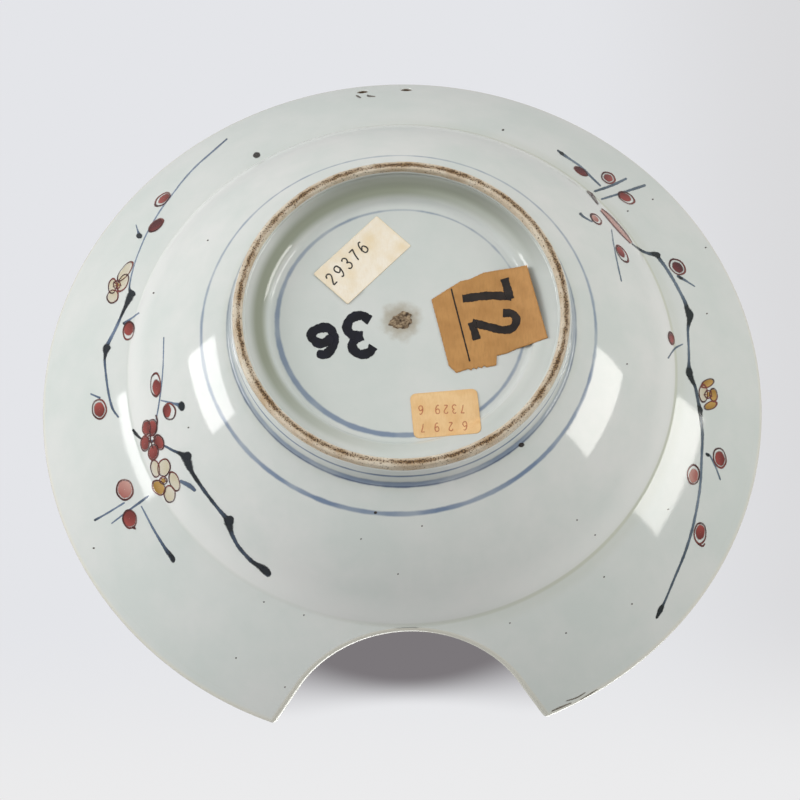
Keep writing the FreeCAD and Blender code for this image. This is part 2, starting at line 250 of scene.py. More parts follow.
def flange_up(points):
    """Unit vectors square to the flange, towards the mouth, at points near its middle surface."""
    r = np.hypot(points[:, 0], points[:, 1])
    slope = np.arcsin((r - FLANGE_C[0]) / FLANGE_R)
    flat = points[:, :2] / r[:, None]
    return np.concatenate([-np.sin(slope)[:, None] * flat, np.cos(slope)[:, None]], 1)


def lip_line():
    """The whole lip: its middle points and the way each one faces.

    The notch comes first, then a fan where its right tip turns, the rim, and the left fan. The
    rim's columns stand three times closer near the hanging holes.
    """
    notch = notch_outline(NOTCH_COLUMNS)
    start = math.atan2(notch[-1, 1], notch[-1, 0])
    fine = np.linspace(start, math.pi - start, 4000)
    near = sum(np.exp(-((np.degrees(fine) - hole) / 2.2) ** 2) for hole in BOWL["hole_turns"])
    weight = np.cumsum(1 + 2.5 * near)
    weight = (weight - weight[0]) / (weight[-1] - weight[0])
    turn = np.interp(np.linspace(0, 1, RIM_COLUMNS), weight, fine)
    rim_r = BOWL["rim"] - LIP
    level = np.full(RIM_COLUMNS, BOWL["lip_height"])
    rim = np.stack([rim_r * np.cos(turn), rim_r * np.sin(turn), level], -1)
    rim_face = np.stack(
        [
            math.cos(FLANGE_HIGH) * np.cos(turn),
            math.cos(FLANGE_HIGH) * np.sin(turn),
            np.full(RIM_COLUMNS, math.sin(FLANGE_HIGH)),
        ],
        -1,
    )
    notch_face = np.cross(np.gradient(notch, axis=0), flange_up(notch))
    notch_face /= np.linalg.norm(notch_face, axis=1)[:, None]
    notch_face *= np.sign(-notch_face[len(notch) // 2, 1])
    share = np.linspace(0, 1, FAN_COLUMNS + 2)[1:-1, None]
    right_fan = notch_face[-1] * (1 - share) + rim_face[0] * share
    left_fan = rim_face[-1] * (1 - share) + notch_face[0] * share
    points = np.concatenate(
        [notch, np.repeat(notch[-1:], FAN_COLUMNS, 0), rim, np.repeat(notch[:1], FAN_COLUMNS, 0)]
    )
    faces = np.concatenate([notch_face, right_fan, rim_face, left_fan])
    return points, faces / np.linalg.norm(faces, axis=1)[:, None]


LIP_POINT, LIP_FACE = lip_line()
LIP_UP = flange_up(LIP_POINT)
COLUMNS = len(LIP_POINT)
LIP_SLOPE = np.arcsin((np.hypot(LIP_POINT[:, 0], LIP_POINT[:, 1]) - FLANGE_C[0]) / FLANGE_R)
LIP_TURN = np.unwrap(np.arctan2(LIP_POINT[:, 1], LIP_POINT[:, 0]))
SMOOTHING = 61


def smoothed_turns():
    """The columns' turns away from the lip: the lip's own, averaged over their neighbours."""
    even = np.arange(COLUMNS) * (2 * math.pi / COLUMNS)
    drift = LIP_TURN - even
    wide = np.concatenate([drift[-SMOOTHING:], drift, drift[:SMOOTHING]])
    mean = np.convolve(wide, np.ones(SMOOTHING) / SMOOTHING, "same")[SMOOTHING:-SMOOTHING]
    return even + mean


BASE_TURN = smoothed_turns()


def turned(section):
    """A fixed stretch of section carried round the axis, as rows of points."""
    r, z = section[:, 0][:, None], section[:, 1][:, None]
    return np.stack([r * np.cos(BASE_TURN), r * np.sin(BASE_TURN), z + 0 * BASE_TURN], -1)


def flange_rows(side, first_slope, count):
    """Rows of the flange from near the crease to the lip; side is -1 below and 1 above.

    The slope runs from the first one to that of the lip at each column, and the columns drift
    from their smoothed turns to the lip's own as the rows near it.
    """
    share = np.linspace(0, 1, count)[:, None]
    slope = first_slope + (LIP_SLOPE - first_slope) * share
    turn = BASE_TURN + (LIP_TURN - BASE_TURN) * share ** 0.8
    r = FLANGE_C[0] + (FLANGE_R - side * LIP) * np.sin(slope)
    z = FLANGE_C[1] - (FLANGE_R - side * LIP) * np.cos(slope)
    return np.stack([r * np.cos(turn), r * np.sin(turn), z], -1)


def lip_rows(count):
    """Half circle round the lip from below to above, without its first and last row."""
    angle = np.radians(np.linspace(-90, 90, count + 2)[1:-1])[:, None, None]
    return LIP_POINT + LIP * (np.cos(angle) * LIP_FACE + np.sin(angle) * LIP_UP)


def meeting(centre_a, radius_a, centre_b, radius_b):
    """The crossing of two section circles that lies further from the axis."""
    gap = math.dist(centre_a, centre_b)
    dr, dz = (centre_b[0] - centre_a[0]) / gap, (centre_b[1] - centre_a[1]) / gap
    along = (gap ** 2 + radius_a ** 2 - radius_b ** 2) / (2 * gap)
    across = math.sqrt(radius_a ** 2 - along ** 2)
    foot = (centre_a[0] + dr * along, centre_a[1] + dz * along)
    one = (foot[0] + dz * across, foot[1] - dr * across)
    two = (foot[0] - dz * across, foot[1] + dr * across)
    return max(one, two)


def glaze_edge(radius_at, line, outwards, top):
    """Rows where the glaze ends on a foot side: a rounded edge above a wavy line.

    radius_at gives the side's radius at a height, outwards is 1 or -1, and the side then runs
    up to the height top.
    """
    wave = 0.22 * np.sin(3 * BASE_TURN + 1) + 0.12 * np.sin(11 * BASE_TURN)
    wave = line + wave + 0.08 * np.sin(29 * BASE_TURN + 2)
    rows = []
    for sink, climb in ((GLAZE_DEPTH + 0.05, 0.0), (0.14, 0.03), (0.03, 0.15), (0.0, 0.35)):
        z = wave + climb
        r = radius_at(z) - outwards * sink
        rows.append(np.stack([r * np.cos(BASE_TURN), r * np.sin(BASE_TURN), z], -1))
    for share in np.linspace(0, 1, 7)[1:]:
        z = (wave + 0.35) * (1 - share) + top * share
        r = radius_at(z)
        rows.append(np.stack([r * np.cos(BASE_TURN), r * np.sin(BASE_TURN), z], -1))
    return np.array(rows)


def foot_side(z):
    """Radius of the outer side of the foot ring at a height."""
    rise = BOWL["root_height"] - BOWL["foot_edge"]
    spread = BOWL["root"] - BOWL["foot_side"]
    return BOWL["foot_side"] + spread * (z - BOWL["foot_edge"]) / rise


def coat_rows():
    """Every row of the coat, from its edge above the foot, over the lip, to the well floor."""
    legs = CORNER_LEGS
    root = (BOWL["root"], BOWL["root_height"])
    crease = (BOWL["crease"], BOWL["crease_height"])
    side_top = BOWL["root_height"] - legs["root"]
    low = WALL_LOW + legs["root"] / WALL_R
    high = WALL_HIGH - legs["crease"] / WALL_R
    outer_flange = FLANGE_R + LIP
    inner_flange = FLANGE_R - LIP
    outer_start = FLANGE_LOW + legs["crease"] / outer_flange
    ridge = meeting(WALL_C, INNER_WALL_R, FLANGE_C, inner_flange)
    ridge_flange = math.asin((ridge[0] - FLANGE_C[0]) / inner_flange) + legs["ridge"] / inner_flange
    ridge_wall = math.asin((ridge[0] - WALL_C[0]) / INNER_WALL_R) - legs["ridge"] / INNER_WALL_R
    floor_slope = math.acos((WALL_C[1] - BOWL["floor"]) / INNER_WALL_R)
    floor_corner = on_arc(WALL_C, INNER_WALL_R, floor_slope)
    floor_wall = floor_slope + legs["floor"] / INNER_WALL_R
    floor_end = (floor_corner[0] - legs["floor"], BOWL["floor"])
    root_curve = softened((foot_side(side_top), side_top), root, on_arc(WALL_C, WALL_R, low), 7)
    crease_curve = softened(
        on_arc(WALL_C, WALL_R, high), crease, on_arc(FLANGE_C, outer_flange, outer_start), 7
    )
    ridge_curve = softened(
        on_arc(FLANGE_C, inner_flange, ridge_flange),
        ridge,
        on_arc(WALL_C, INNER_WALL_R, ridge_wall),
        7,
    )
    floor_curve = softened(
        on_arc(WALL_C, INNER_WALL_R, floor_wall), floor_corner, floor_end, 12
    )
    floor = np.stack([np.linspace(floor_end[0], 2, 10), np.full(10, BOWL["floor"])], -1)
    outside = [
        glaze_edge(foot_side, GLAZE_LINE, 1, side_top),
        turned(root_curve[1:]),
        turned(on_arc(WALL_C, WALL_R, np.linspace(low, high, 46)[1:])),
        turned(crease_curve[1:]),
        flange_rows(-1, outer_start, 36)[1:],
    ]
    inside = [
        flange_rows(1, ridge_flange, 34)[::-1],
        turned(ridge_curve[1:]),
        turned(on_arc(WALL_C, INNER_WALL_R, np.linspace(ridge_wall, floor_wall, 34)[1:])),
        turned(floor_curve[1:]),
        turned(floor[1:]),
    ]
    lip = lip_rows(13)
    outside_count = sum(len(part) for part in outside)
    return np.concatenate(outside + [lip] + inside), outside_count, len(lip)


def band_faces(row_count):
    """Quads between neighbouring rows that close round the axis."""
    index = np.arange(row_count * COLUMNS).reshape(row_count, COLUMNS)
    after = np.roll(index, -1, axis=1)
    return np.stack([index[:-1], index[1:], after[1:], after[:-1]], -1)


def hole_axis(turn):
    """Middle point and direction of a hanging hole, square to the flange."""
    slope = math.asin((BOWL["hole_ring"] - FLANGE_C[0]) / FLANGE_R)
    height = FLANGE_C[1] - FLANGE_R * math.cos(slope)
    out = np.array([math.cos(math.radians(turn)), math.sin(math.radians(turn)), 0])
    middle = out * BOWL["hole_ring"] + (0, 0, height)
    return middle, out * -math.sin(slope) + (0, 0, math.cos(slope))


def pierced(rows, faces):
    """Points and faces of the coat with a round, turned-in edge at both mouths of each hole.

    The block of quads round a mouth is taken out, and rings of quads lead from its border to a
    circle about the hole's axis, then down into the body.
    """
    points = rows.reshape(-1, 3)
    kept = np.ones(faces.shape[:2], bool)
    new_points, new_faces = [points], []
    total = len(points)
    for turn in BOWL["hole_turns"]:
        middle, axis = hole_axis(turn)
        away = rows - middle
        level = away @ axis
        flat = away - level[..., None] * axis
        distance = np.linalg.norm(flat, axis=2)
        for side in (-1, 1):
            close = (distance < BARE_HOLE + 0.5) & (level * side > 0) & (abs(level) < 4)
            i = np.flatnonzero(close.any(1))
            j = np.flatnonzero(close.any(0))
            top, bottom, left, right = i[0] - 1, i[-1] + 1, j[0] - 1, j[-1] + 1
            kept[top:bottom, left:right] = False
            border = (
                [(top, k) for k in range(left, right)]
                + [(k, right) for k in range(top, bottom)]
                + [(bottom, k) for k in range(right, left, -1)]
                + [(k, left) for k in range(bottom, top, -1)]
            )
            border = np.array(border)
            loop = border[:, 0] * COLUMNS + border[:, 1]
            start = points[loop]
            spoke = flat[border[:, 0], border[:, 1]]
            spoke = spoke / np.linalg.norm(spoke, axis=1)[:, None]
            mouth = middle + spoke * BARE_HOLE + axis * side * LIP
            rings = [start * (1 - s) + mouth * s for s in (1 / 3, 2 / 3, 1)]
            for inwards, down in ((0.1, 0.06), (0.2, 0.2), (0.22, GLAZE_DEPTH + 0.05)):
                rings.append(
                    middle + spoke * (BARE_HOLE - inwards) + axis * side * (LIP - down)
                )
            count = len(loop)
            last = loop
            for ring in rings:
                here = total + np.arange(count)
                new_points.append(ring)
                total += count
                new_faces.append(
                    np.stack([last, here, np.roll(here, -1), np.roll(last, -1)], -1)
                )
                last = here
    quads = np.concatenate([faces[kept].reshape(-1, 4)] + new_faces)
    return np.concatenate(new_points), quads


def lay_mesh(name, points, faces, material, attributes=()):
    """A smooth-shaded piece of the bowl from millimetre points and lists of faces."""
    mesh = bpy.data.meshes.new(name)
    mesh.from_pydata((points * MM).tolist(), [], faces)
    mesh.polygons.foreach_set("use_smooth", np.ones(len(mesh.polygons), bool))
    for key, values in dict(attributes).items():
        layer = mesh.attributes.new(key, "FLOAT", "POINT")
        layer.data.foreach_set("value", np.asarray(values, np.float32).ravel())
    mesh.update()
    mesh.materials.append(material)
    piece = bpy.data.objects.new(name, mesh)
    bpy.context.scene.collection.objects.link(piece)
    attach(piece, "root")
    return piece


GLAZE_COLOURS = {
    "thin": "#D7D9D6",
    "thick": "#CDD3CF",
    "painted_crease_light": "#E8E9E6",
    "flange": "#BDC6C2",
    "pooled": "#B3B69E",
    "pooled_and_shaded": "#8E9482",
    "painted_foot_shadow": "#767B6B",
    "lip": "#DCD7C6",
    "blue": "#5F7594",
    "blue_heavy": "#3E4F6E",
    "stain": "#978A70",
}
# Bands round the bowl: colour, then steps as the radii where each starts and ends, and its gain. The
# first is a painted highlight on the wall just under the crease; the second darkens the flange.
GLAZE_BANDS = (
    ("painted_crease_light", ((93.0, 101.0, 0.5), (101.6, 103.0, -0.5))),
    ("flange", ((101.6, 103.0, 0.2),)),
)
# Pools of thick glaze: section point, full reach, last reach, strength, and whether it follows
# the mottling or fades towards the photograph's left.
GLAZE_POOLS = (
    ((BOWL["crease"], BOWL["crease_height"]), 0.3, 1.2, 0.5, False),
    ((BOWL["crease"] + 1.5, BOWL["crease_height"] + 1), 0.5, 5.0, 0.14, False),
    ((BOWL["root"], BOWL["root_height"]), 0.5, 4.5, 0.25, True),
    ((BOWL["rim"] - 3.6, BOWL["lip_height"] - 3.3), 0.3, 1.1, 0.5, True),
)
MOTTLE = 28.0
GLAZE_ROUGHNESS = 0.07
# Period, detail and depth of the unevenness from pouring and of the orange-peel skin.
GLAZE_WAVES = ((22.0, 1.5, 0.1), (1.6, 2.0, 0.004))


def section_distance(tree, place, radius, point):
    """Distance in millimetres of a surface point from a ring through a section point."""
    height = add(tree, "ShaderNodeSeparateXYZ", {0: place}, "Z")
    section = add(tree, "ShaderNodeCombineXYZ", {0: radius, 1: height})
    ends = {0: section, 1: (point[0] * MM, point[1] * MM, 0)}
    away = add(tree, "ShaderNodeVectorMath", ends, "Value", operation="DISTANCE")
    return add(tree, "ShaderNodeMath", {0: away, 1: 1 / MM}, operation="MULTIPLY")


def bare_glaze(tree):
    """Colour of the glaze from where it lies: soft mottling, a painted highlight band under the
    crease, a darker flange, and olive pools.
    """
    place = add(tree, "ShaderNodeTexCoord", out="Object")
    flat = add(tree, "ShaderNodeVectorMath", {0: place, 1: (1, 1, 0)}, operation="MULTIPLY")
    radius = add(tree, "ShaderNodeVectorMath", {0: flat}, "Value", operation="LENGTH")
    cloud = {"Scale": 1 / (MOTTLE * MM), "Detail": 4.0, "Roughness": 0.6}
    mottle = add(tree, "ShaderNodeTexNoise", {0: place, **cloud})
    shade = add(tree, "ShaderNodeMapRange", {"Value": mottle, "From Min": 0.35, "From Max": 0.65})
    thin, thick = colour(GLAZE_COLOURS["thin"]), colour(GLAZE_COLOURS["thick"])
    tint = add(tree, "ShaderNodeMix", {0: shade, 6: thin, 7: thick}, 2, data_type="RGBA")
    # The light band here is a painted highlight, not a tone of the glaze.
    for key, steps in GLAZE_BANDS:
        share = 0.0
        for start, end, gain in steps:
            ends = {"From Min": start * MM, "From Max": end * MM, "To Max": gain}
            step = add(
                tree, "ShaderNodeMapRange", {"Value": radius, **ends}, interpolation_type="SMOOTHSTEP"
            )
            share = add(tree, "ShaderNodeMath", {0: step, 1: share}, operation="ADD")
        band = colour(GLAZE_COLOURS[key])
        tint = add(tree, "ShaderNodeMix", {0: share, 6: tint, 7: band}, 2, data_type="RGBA")
    x = add(tree, "ShaderNodeSeparateXYZ", {0: place}, "X")
    ends = {"From Min": 30 * MM, "From Max": -60 * MM, "To Min": 0.12, "To Max": 1.0}
    to_right = add(tree, "ShaderNodeMapRange", {"Value": x, **ends})
    olive = colour(GLAZE_COLOURS["pooled"])
    for point, near, far, strength, mottled in GLAZE_POOLS:
        away = section_distance(tree, place, radius, point)
        ends = {"From Min": near, "From Max": far, "To Min": strength, "To Max": 0.0}
        pool = add(
            tree, "ShaderNodeMapRange", {"Value": away, **ends}, interpolation_type="SMOOTHSTEP"
        )
        where = shade if mottled else to_right
        pool = add(tree, "ShaderNodeMath", {0: pool, 1: where}, operation="MULTIPLY")
        tint = add(tree, "ShaderNodeMix", {0: pool, 6: tint, 7: olive}, 2, data_type="RGBA")
    return tint, place, radius


LINE_LENGTHS = {"wobble": 5.0, "load": 17.0}
FADE_ALONG = (-55.0, 35.0)


def brushed_line(tree, tint, away, place, half_width, strength, code, lean=(0, 0), fade=1.0):
    """A line painted under the glaze: away is the distance in millimetres from its middle.

    lean is how many millimetres the line loses for each metre along X and Y, and fade is the
    share of its strength that is left on the side away from the notch.
    """
    wobble, load = (
        add(tree, "ShaderNodeTexNoise", {0: place, "Scale": 1 / (length * MM), "Detail": detail})
        for length, detail in ((LINE_LENGTHS["wobble"], 3.0), (LINE_LENGTHS["load"], 2.0))
    )
    ends = {"From Min": 0.3, "From Max": 0.6, "To Min": 0.6 * strength, "To Max": strength}
    load = add(tree, "ShaderNodeMapRange", {"Value": load, **ends})
    along = add(tree, "ShaderNodeSeparateXYZ", {0: place}, "Y")
    first, last = FADE_ALONG
    ends = {"From Min": first * MM, "From Max": last * MM, "To Min": 1.0, "To Max": fade}
    kept = add(tree, "ShaderNodeMapRange", {"Value": along, **ends})
    load = add(tree, "ShaderNodeMath", {0: load, 1: kept}, operation="MULTIPLY")
    breath = {0: wobble, 1: half_width, 2: -0.5 * half_width}
    drift = add(tree, "ShaderNodeMath", breath, operation="MULTIPLY_ADD")
    slant = add(
        tree, "ShaderNodeVectorMath", {0: place, 1: (*lean, 0)}, "Value", operation="DOT_PRODUCT"
    )
    drift = add(tree, "ShaderNodeMath", {0: drift, 1: slant}, operation="ADD")
    off = add(tree, "ShaderNodeMath", {0: away, 1: drift}, operation="ADD")
    ends = {"From Min": half_width * 0.3, "From Max": half_width * 1.5, "To Min": 1.0, "To Max": 0.0}
    ink = add(tree, "ShaderNodeMapRange", {"Value": off, **ends}, interpolation_type="SMOOTHSTEP")
    ink = add(tree, "ShaderNodeMath", {0: ink, 1: load}, operation="MULTIPLY")
    cobalt = colour(code)
    return add(tree, "ShaderNodeMix", {0: ink, 6: tint, 7: cobalt}, 2, data_type="RGBA")


def glaze_finish(tree, tint, place, cover=1.0):
    """Glossy fired surface: broad unevenness from pouring, and a fine orange-peel skin."""
    skin = None
    for period, detail, depth in GLAZE_WAVES:
        wave = add(
            tree, "ShaderNodeTexNoise", {0: place, "Scale": 1 / (period * MM), "Detail": detail}
        )
        bumps = {"Strength": 1.0, "Distance": depth * MM, "Height": wave}
        if skin:
            bumps["Normal"] = skin
        skin = add(tree, "ShaderNodeBump", bumps)
    looks = {"Roughness": GLAZE_ROUGHNESS, "IOR": 1.5, "Alpha": cover, "Normal": skin}
    shader = add(tree, "ShaderNodeBsdfPrincipled", {"Base Color": tint, **looks})
    add(tree, "ShaderNodeOutputMaterial", {"Surface": shader})


WALL_RING = {"radius": 71.8, "centre": (1.1, 0.0), "half": 0.55, "lean": (0, 3.0), "fade": 0.7}
FOOT_LINES = (
    ((62.6, 11.9), 1.15, 0.8, "blue"),
    ((63.3, 12.5), 0.3, 0.75, "blue_heavy"),
    ((61.65, 6.8), 0.6, 0.85, "blue"),
    ((61.65, 6.5), 0.25, 0.6, "blue_heavy"),
)
FACE_RINGS = ((55.0, 0.9), (57.6, 0.4), (131.5, 0.5))


def celadon_glaze(name, face_side):
    """Pale celadon glaze over underglaze cobalt rings, for the outside or for the face side."""
    material, tree = new_material(name)
    tint, place, radius = bare_glaze(tree)
    if face_side:
        for ring, half in FACE_RINGS:
            away = ring_distance(tree, place, ring)
            tint = brushed_line(tree, tint, away, place, half, 0.75, GLAZE_COLOURS["blue"])
    else:
        away = ring_distance(tree, place, WALL_RING["radius"], WALL_RING["centre"])
        look = (WALL_RING["half"], 0.9, GLAZE_COLOURS["blue"], WALL_RING["lean"], WALL_RING["fade"])
        tint = brushed_line(tree, tint, away, place, *look)
        for point, half, strength, key in FOOT_LINES:
            away = section_distance(tree, place, radius, point)
            look = (half, strength, GLAZE_COLOURS[key])
            tint = brushed_line(tree, tint, away, place, *look, fade=0.35)
    lip = add(tree, "ShaderNodeAttribute", out="Fac", attribute_name="lip")
    cream = colour(GLAZE_COLOURS["lip"])
    tint = add(tree, "ShaderNodeMix", {0: lip, 6: tint, 7: cream}, 2, data_type="RGBA")
    glaze_finish(tree, tint, place)
    return material


rows, outside_count, lip_count = coat_rows()
points, quads = pierced(rows, band_faces(len(rows)))
lip_share = np.zeros(len(rows))
lip_share[outside_count:outside_count + lip_count] = 0.6
lip_share[outside_count - 1] = 0.4
lip_share[outside_count + lip_count] = 0.4
lip_values = np.zeros(len(points))
lip_values[:rows.shape[0] * COLUMNS] = np.repeat(lip_share, COLUMNS)
last_row = (len(rows) - 1) * COLUMNS + np.arange(COLUMNS)
points = np.concatenate([points, [[0, 0, BOWL["floor"]]]])
pole = np.full(COLUMNS, len(points) - 1)
fan = np.stack([last_row, pole, np.roll(last_row, -1)], -1)
coat = lay_mesh(
    "glaze_coat_fired",
    points,
    quads.tolist() + fan.tolist(),
    celadon_glaze("celadon_glaze_outside", False),
    {"lip": np.append(lip_values, 0.0)},
)
coat.data.materials.append(celadon_glaze("celadon_glaze_face", True))
first_corner = np.concatenate([quads[:, 0], fan[:, 0]])
middle_row = outside_count + lip_count // 2
in_grid = first_corner < rows.shape[0] * COLUMNS
second = np.concatenate([quads[:, 1], fan[:, 1]])
face_points = points[second]
face_r = np.hypot(face_points[:, 0], face_points[:, 1])
above_middle = face_points[:, 2] > FLANGE_C[1] - np.sqrt(
    np.maximum(FLANGE_R ** 2 - (face_r - FLANGE_C[0]) ** 2, 0)
)
inside = np.where(in_grid, first_corner >= middle_row * COLUMNS, above_middle)
coat.data.polygons.foreach_set("material_index", inside.astype(np.int32))
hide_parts("glaze_coat")


# The glaze inside the foot ring: the same coat over the sunk base, with a blue ring brushed on the
# turning wheel. It is a little yellow round the kiln spur and in the corner where it pooled. Painted
# shade also darkens the recess: mixed into the olive pool on one side, and alone as a painted shadow
# under the foot's rim on the side away from the notch.
RECESS = {
    "mouth": 56.9,
    "wall": 56.2,
    "depth": 9.0,
    "line": 2.4,
    "side": 3.6,
    "shoulder": ((50.2, 4.5), (48.4, 7.6)),
    "foot": ((47.6, 9.0), (46.2, 9.0)),
}
# Olive pooled glaze and painted shade in the recess: section point, reach, strength, the way they
# darken and how, and colour. The first is pooled glaze with painted shade in it, the second a painted
# shadow under the foot's rim.
RECESS_POOLS_AND_SHADE = (
    ((51.2, 4.6), 4.6, 0.95, (0.8, 0.6), (-30, 30, 0.15), "pooled_and_shaded"),
    ((54.4, 3.9), 4.2, 0.8, (-0.15, 1.0), (22, 52, 0.0), "painted_foot_shadow"),
)
# Stain round the spur: how ragged, where it is full, where it ends, and its strength.
SPUR_STAIN = (7.0, 3.5, 9.0, 0.65)
BASE_RING = {"radius": 44.9, "half": 0.7, "lean": (-6.0, 7.0), "fade": 0.8}


def recess_side(z):
    """Radius of the recess wall at a height."""
    share = (z - BOWL["foot_edge"]) / (RECESS["depth"] - BOWL["foot_edge"])
    return RECESS["mouth"] + (RECESS["wall"] - RECESS["mouth"]) * share


def base_glaze_material():
    """Base glaze with its blue ring, a stain round the spur, olive where it pooled, and painted shade
    in the recess.
    """
    material, tree = new_material("celadon_glaze_base")
    tint, place, radius = bare_glaze(tree)
    darker = colour(GLAZE_COLOURS["flange"])
    tint = add(tree, "ShaderNodeMix", {0: 0.25, 6: tint, 7: darker}, 2, data_type="RGBA")
    # Painted shade: these pools darken the recess under the foot's rim, the first also as olive pooled
    # glaze.
    for point, far, strength, way, (first, last, least), key in RECESS_POOLS_AND_SHADE:
        corner = section_distance(tree, place, radius, point)
        ends = {"From Min": 0.8, "From Max": far, "To Min": strength, "To Max": 0.0}
        pool = add(
            tree, "ShaderNodeMapRange", {"Value": corner, **ends}, interpolation_type="SMOOTHSTEP"
        )
        lean = add(
            tree, "ShaderNodeVectorMath", {0: place, 1: (*way, 0)}, "Value", operation="DOT_PRODUCT"
        )
        ends = {"From Min": first * MM, "From Max": last * MM, "To Min": least}
        lean = add(tree, "ShaderNodeMapRange", {"Value": lean, **ends})
        pool = add(tree, "ShaderNodeMath", {0: pool, 1: lean}, operation="MULTIPLY")
        pooled_and_shaded = colour(GLAZE_COLOURS[key])
        tint = add(tree, "ShaderNodeMix", {0: pool, 6: tint, 7: pooled_and_shaded}, 2, data_type="RGBA")
    ragged, inner, outer, strength = SPUR_STAIN
    cloud = add(tree, "ShaderNodeTexNoise", {0: place, "Scale": 1 / (4 * MM), "Detail": 4.0})
    spread = {0: cloud, 1: ragged * MM, 2: -ragged / 2 * MM}
    spread = add(tree, "ShaderNodeMath", spread, operation="MULTIPLY_ADD")
    near = add(tree, "ShaderNodeMath", {0: radius, 1: spread}, operation="ADD")
    ends = {"From Min": inner * MM, "From Max": outer * MM, "To Min": strength, "To Max": 0.0}
    stain = add(tree, "ShaderNodeMapRange", {"Value": near, **ends}, interpolation_type="SMOOTHSTEP")
    yellow = colour(GLAZE_COLOURS["stain"])
    tint = add(tree, "ShaderNodeMix", {0: stain, 6: tint, 7: yellow}, 2, data_type="RGBA")
    away = ring_distance(tree, place, BASE_RING["radius"])
    look = (BASE_RING["half"], 0.85, GLAZE_COLOURS["blue"], BASE_RING["lean"], BASE_RING["fade"])
    tint = brushed_line(tree, tint, away, place, *look)
    glaze_finish(tree, tint, place)
    return material


side_end = (recess_side(RECESS["side"]), RECESS["side"])
shoulder = softened(side_end, *RECESS["shoulder"], 20)
cove = softened(RECESS["shoulder"][1], *RECESS["foot"], 10)
BASE_SECTION = np.concatenate([shoulder, cove[1:]])[::-1]
base_floor = np.stack([np.linspace(RECESS["foot"][1][0], 1, 36), np.full(36, RECESS["depth"])], -1)
base_rows = np.concatenate(
    [
        glaze_edge(recess_side, RECESS["line"], -1, RECESS["side"]),
        turned(shoulder[1:]),
        turned(cove[1:]),
        turned(base_floor[1:]),
    ]
)
base_points = np.concatenate([base_rows.reshape(-1, 3), [[0, 0, RECESS["depth"]]]])
base_quads = band_faces(len(base_rows)).reshape(-1, 4)[:, ::-1]
last_row = (len(base_rows) - 1) * COLUMNS + np.arange(COLUMNS)
pole = np.full(COLUMNS, len(base_points) - 1)
base_fan = np.stack([np.roll(last_row, -1), pole, last_row], -1)
base_coat = lay_mesh(
    "base_glaze_fired",
    base_points,
    base_quads.tolist() + base_fan.tolist(),
    base_glaze_material(),
)
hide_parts("base_glaze")


# The spur stub: the snapped end of a clay peg that held the base up in the kiln. It is coarse
# fireclay, uneven and proud of the glaze, with soot in its hollows.
SPUR = {"across": (4.6, 3.4), "turn": -25.0, "proud": 0.7, "sink": 0.3}


def spur_points(rings, spokes):
    """Polar grid of a low broken mound: an uneven oval whose height is a sum of waves."""
    share = np.linspace(1, 0, rings + 1)[:-1][:, None]
    turn = np.linspace(0, 2 * math.pi, spokes, endpoint=False)[None]
    edge = 1 + 0.10 * np.sin(3 * turn + 0.7) + 0.07 * np.sin(7 * turn) + 0.05 * np.sin(13 * turn)
    x = SPUR["across"][0] * share * edge * np.cos(turn)
    y = SPUR["across"][1] * share * edge * np.sin(turn)
    rough = np.sin(2.3 * x + 1.1 * y) * np.cos(1.9 * y - 0.7 * x) + 0.6 * np.sin(5.1 * x - 4.3 * y)
    height = SPUR["proud"] * (0.55 + 0.3 * rough) * np.minimum(1, (1 - share) * 5)
    height = height - SPUR["sink"] * np.maximum(0, 1 - (1 - share) * 8)
    lean = math.radians(SPUR["turn"])
    px = x * math.cos(lean) - y * math.sin(lean)
    py = x * math.sin(lean) + y * math.cos(lean)
    return np.stack([px, py, RECESS["depth"] - height], -1)


def fireclay_material():
    """Coarse fired clay, dull and pitted: pale sand grains between brown and sooty patches."""
    material, tree = new_material("fireclay")
    place = add(tree, "ShaderNodeTexCoord", out="Object")
    grain = add(tree, "ShaderNodeTexNoise", {0: place, "Scale": 1 / (1.3 * MM), "Detail": 5.0})
    tint = add(tree, "ShaderNodeValToRGB", {0: grain})
    ramp = tint.node.color_ramp
    ramp.elements[0].position, ramp.elements[0].color = 0.34, colour("#3A2C20")
    ramp.elements[1].position, ramp.elements[1].color = 0.66, colour("#A8957A")
    middle = ramp.elements.new(0.5)
    middle.color = colour("#7B6851")
    bump = add(tree, "ShaderNodeBump", {"Strength": 1.0, "Distance": 0.4 * MM, "Height": grain})
    looks = {"Base Color": tint, "Roughness": 0.8, "IOR": 1.5, "Normal": bump}
    shader = add(tree, "ShaderNodeBsdfPrincipled", looks)
    add(tree, "ShaderNodeOutputMaterial", {"Surface": shader})
    return material


def ring_faces(rings, spokes, flip):
    """Quads between rings of a polar grid, and a fan of triangles to its pole."""
    index = np.arange(rings * spokes).reshape(rings, spokes)
    after = np.roll(index, -1, axis=1)
    quads = np.stack([index[:-1], index[1:], after[1:], after[:-1]], -1).reshape(-1, 4)
    tip = np.full(spokes, rings * spokes)
    fan = np.stack([index[-1], tip, after[-1]], -1)
    if flip:
        quads, fan = quads[:, ::-1], fan[:, ::-1]
    return quads.tolist() + fan.tolist()


spur_grid = spur_points(14, 48)
spur = lay_mesh(
    "spur_stub_broken",
    np.concatenate([spur_grid.reshape(-1, 3), [[0, 0, RECESS["depth"] - 0.4]]]),
    ring_faces(14, 48, True),
    fireclay_material(),
)
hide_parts("spur_stub")


# The camera stands where the photographer's stood, below the foot ring in this frame, looking
# up at the outside. It comes here because the painting is placed through it.
FOCAL_PX = 3000.0
PICTURE_MIDDLE = 400.0
CAMERA_AT = np.array([6.0, -459.2, -973.4])
LOOK = np.array([-0.0045, 0.3994, 0.9168])
RIGHT = np.array([-0.99975, -0.0221, 0.0047])
UP = np.array([-0.0221, 0.9166, -0.3994])

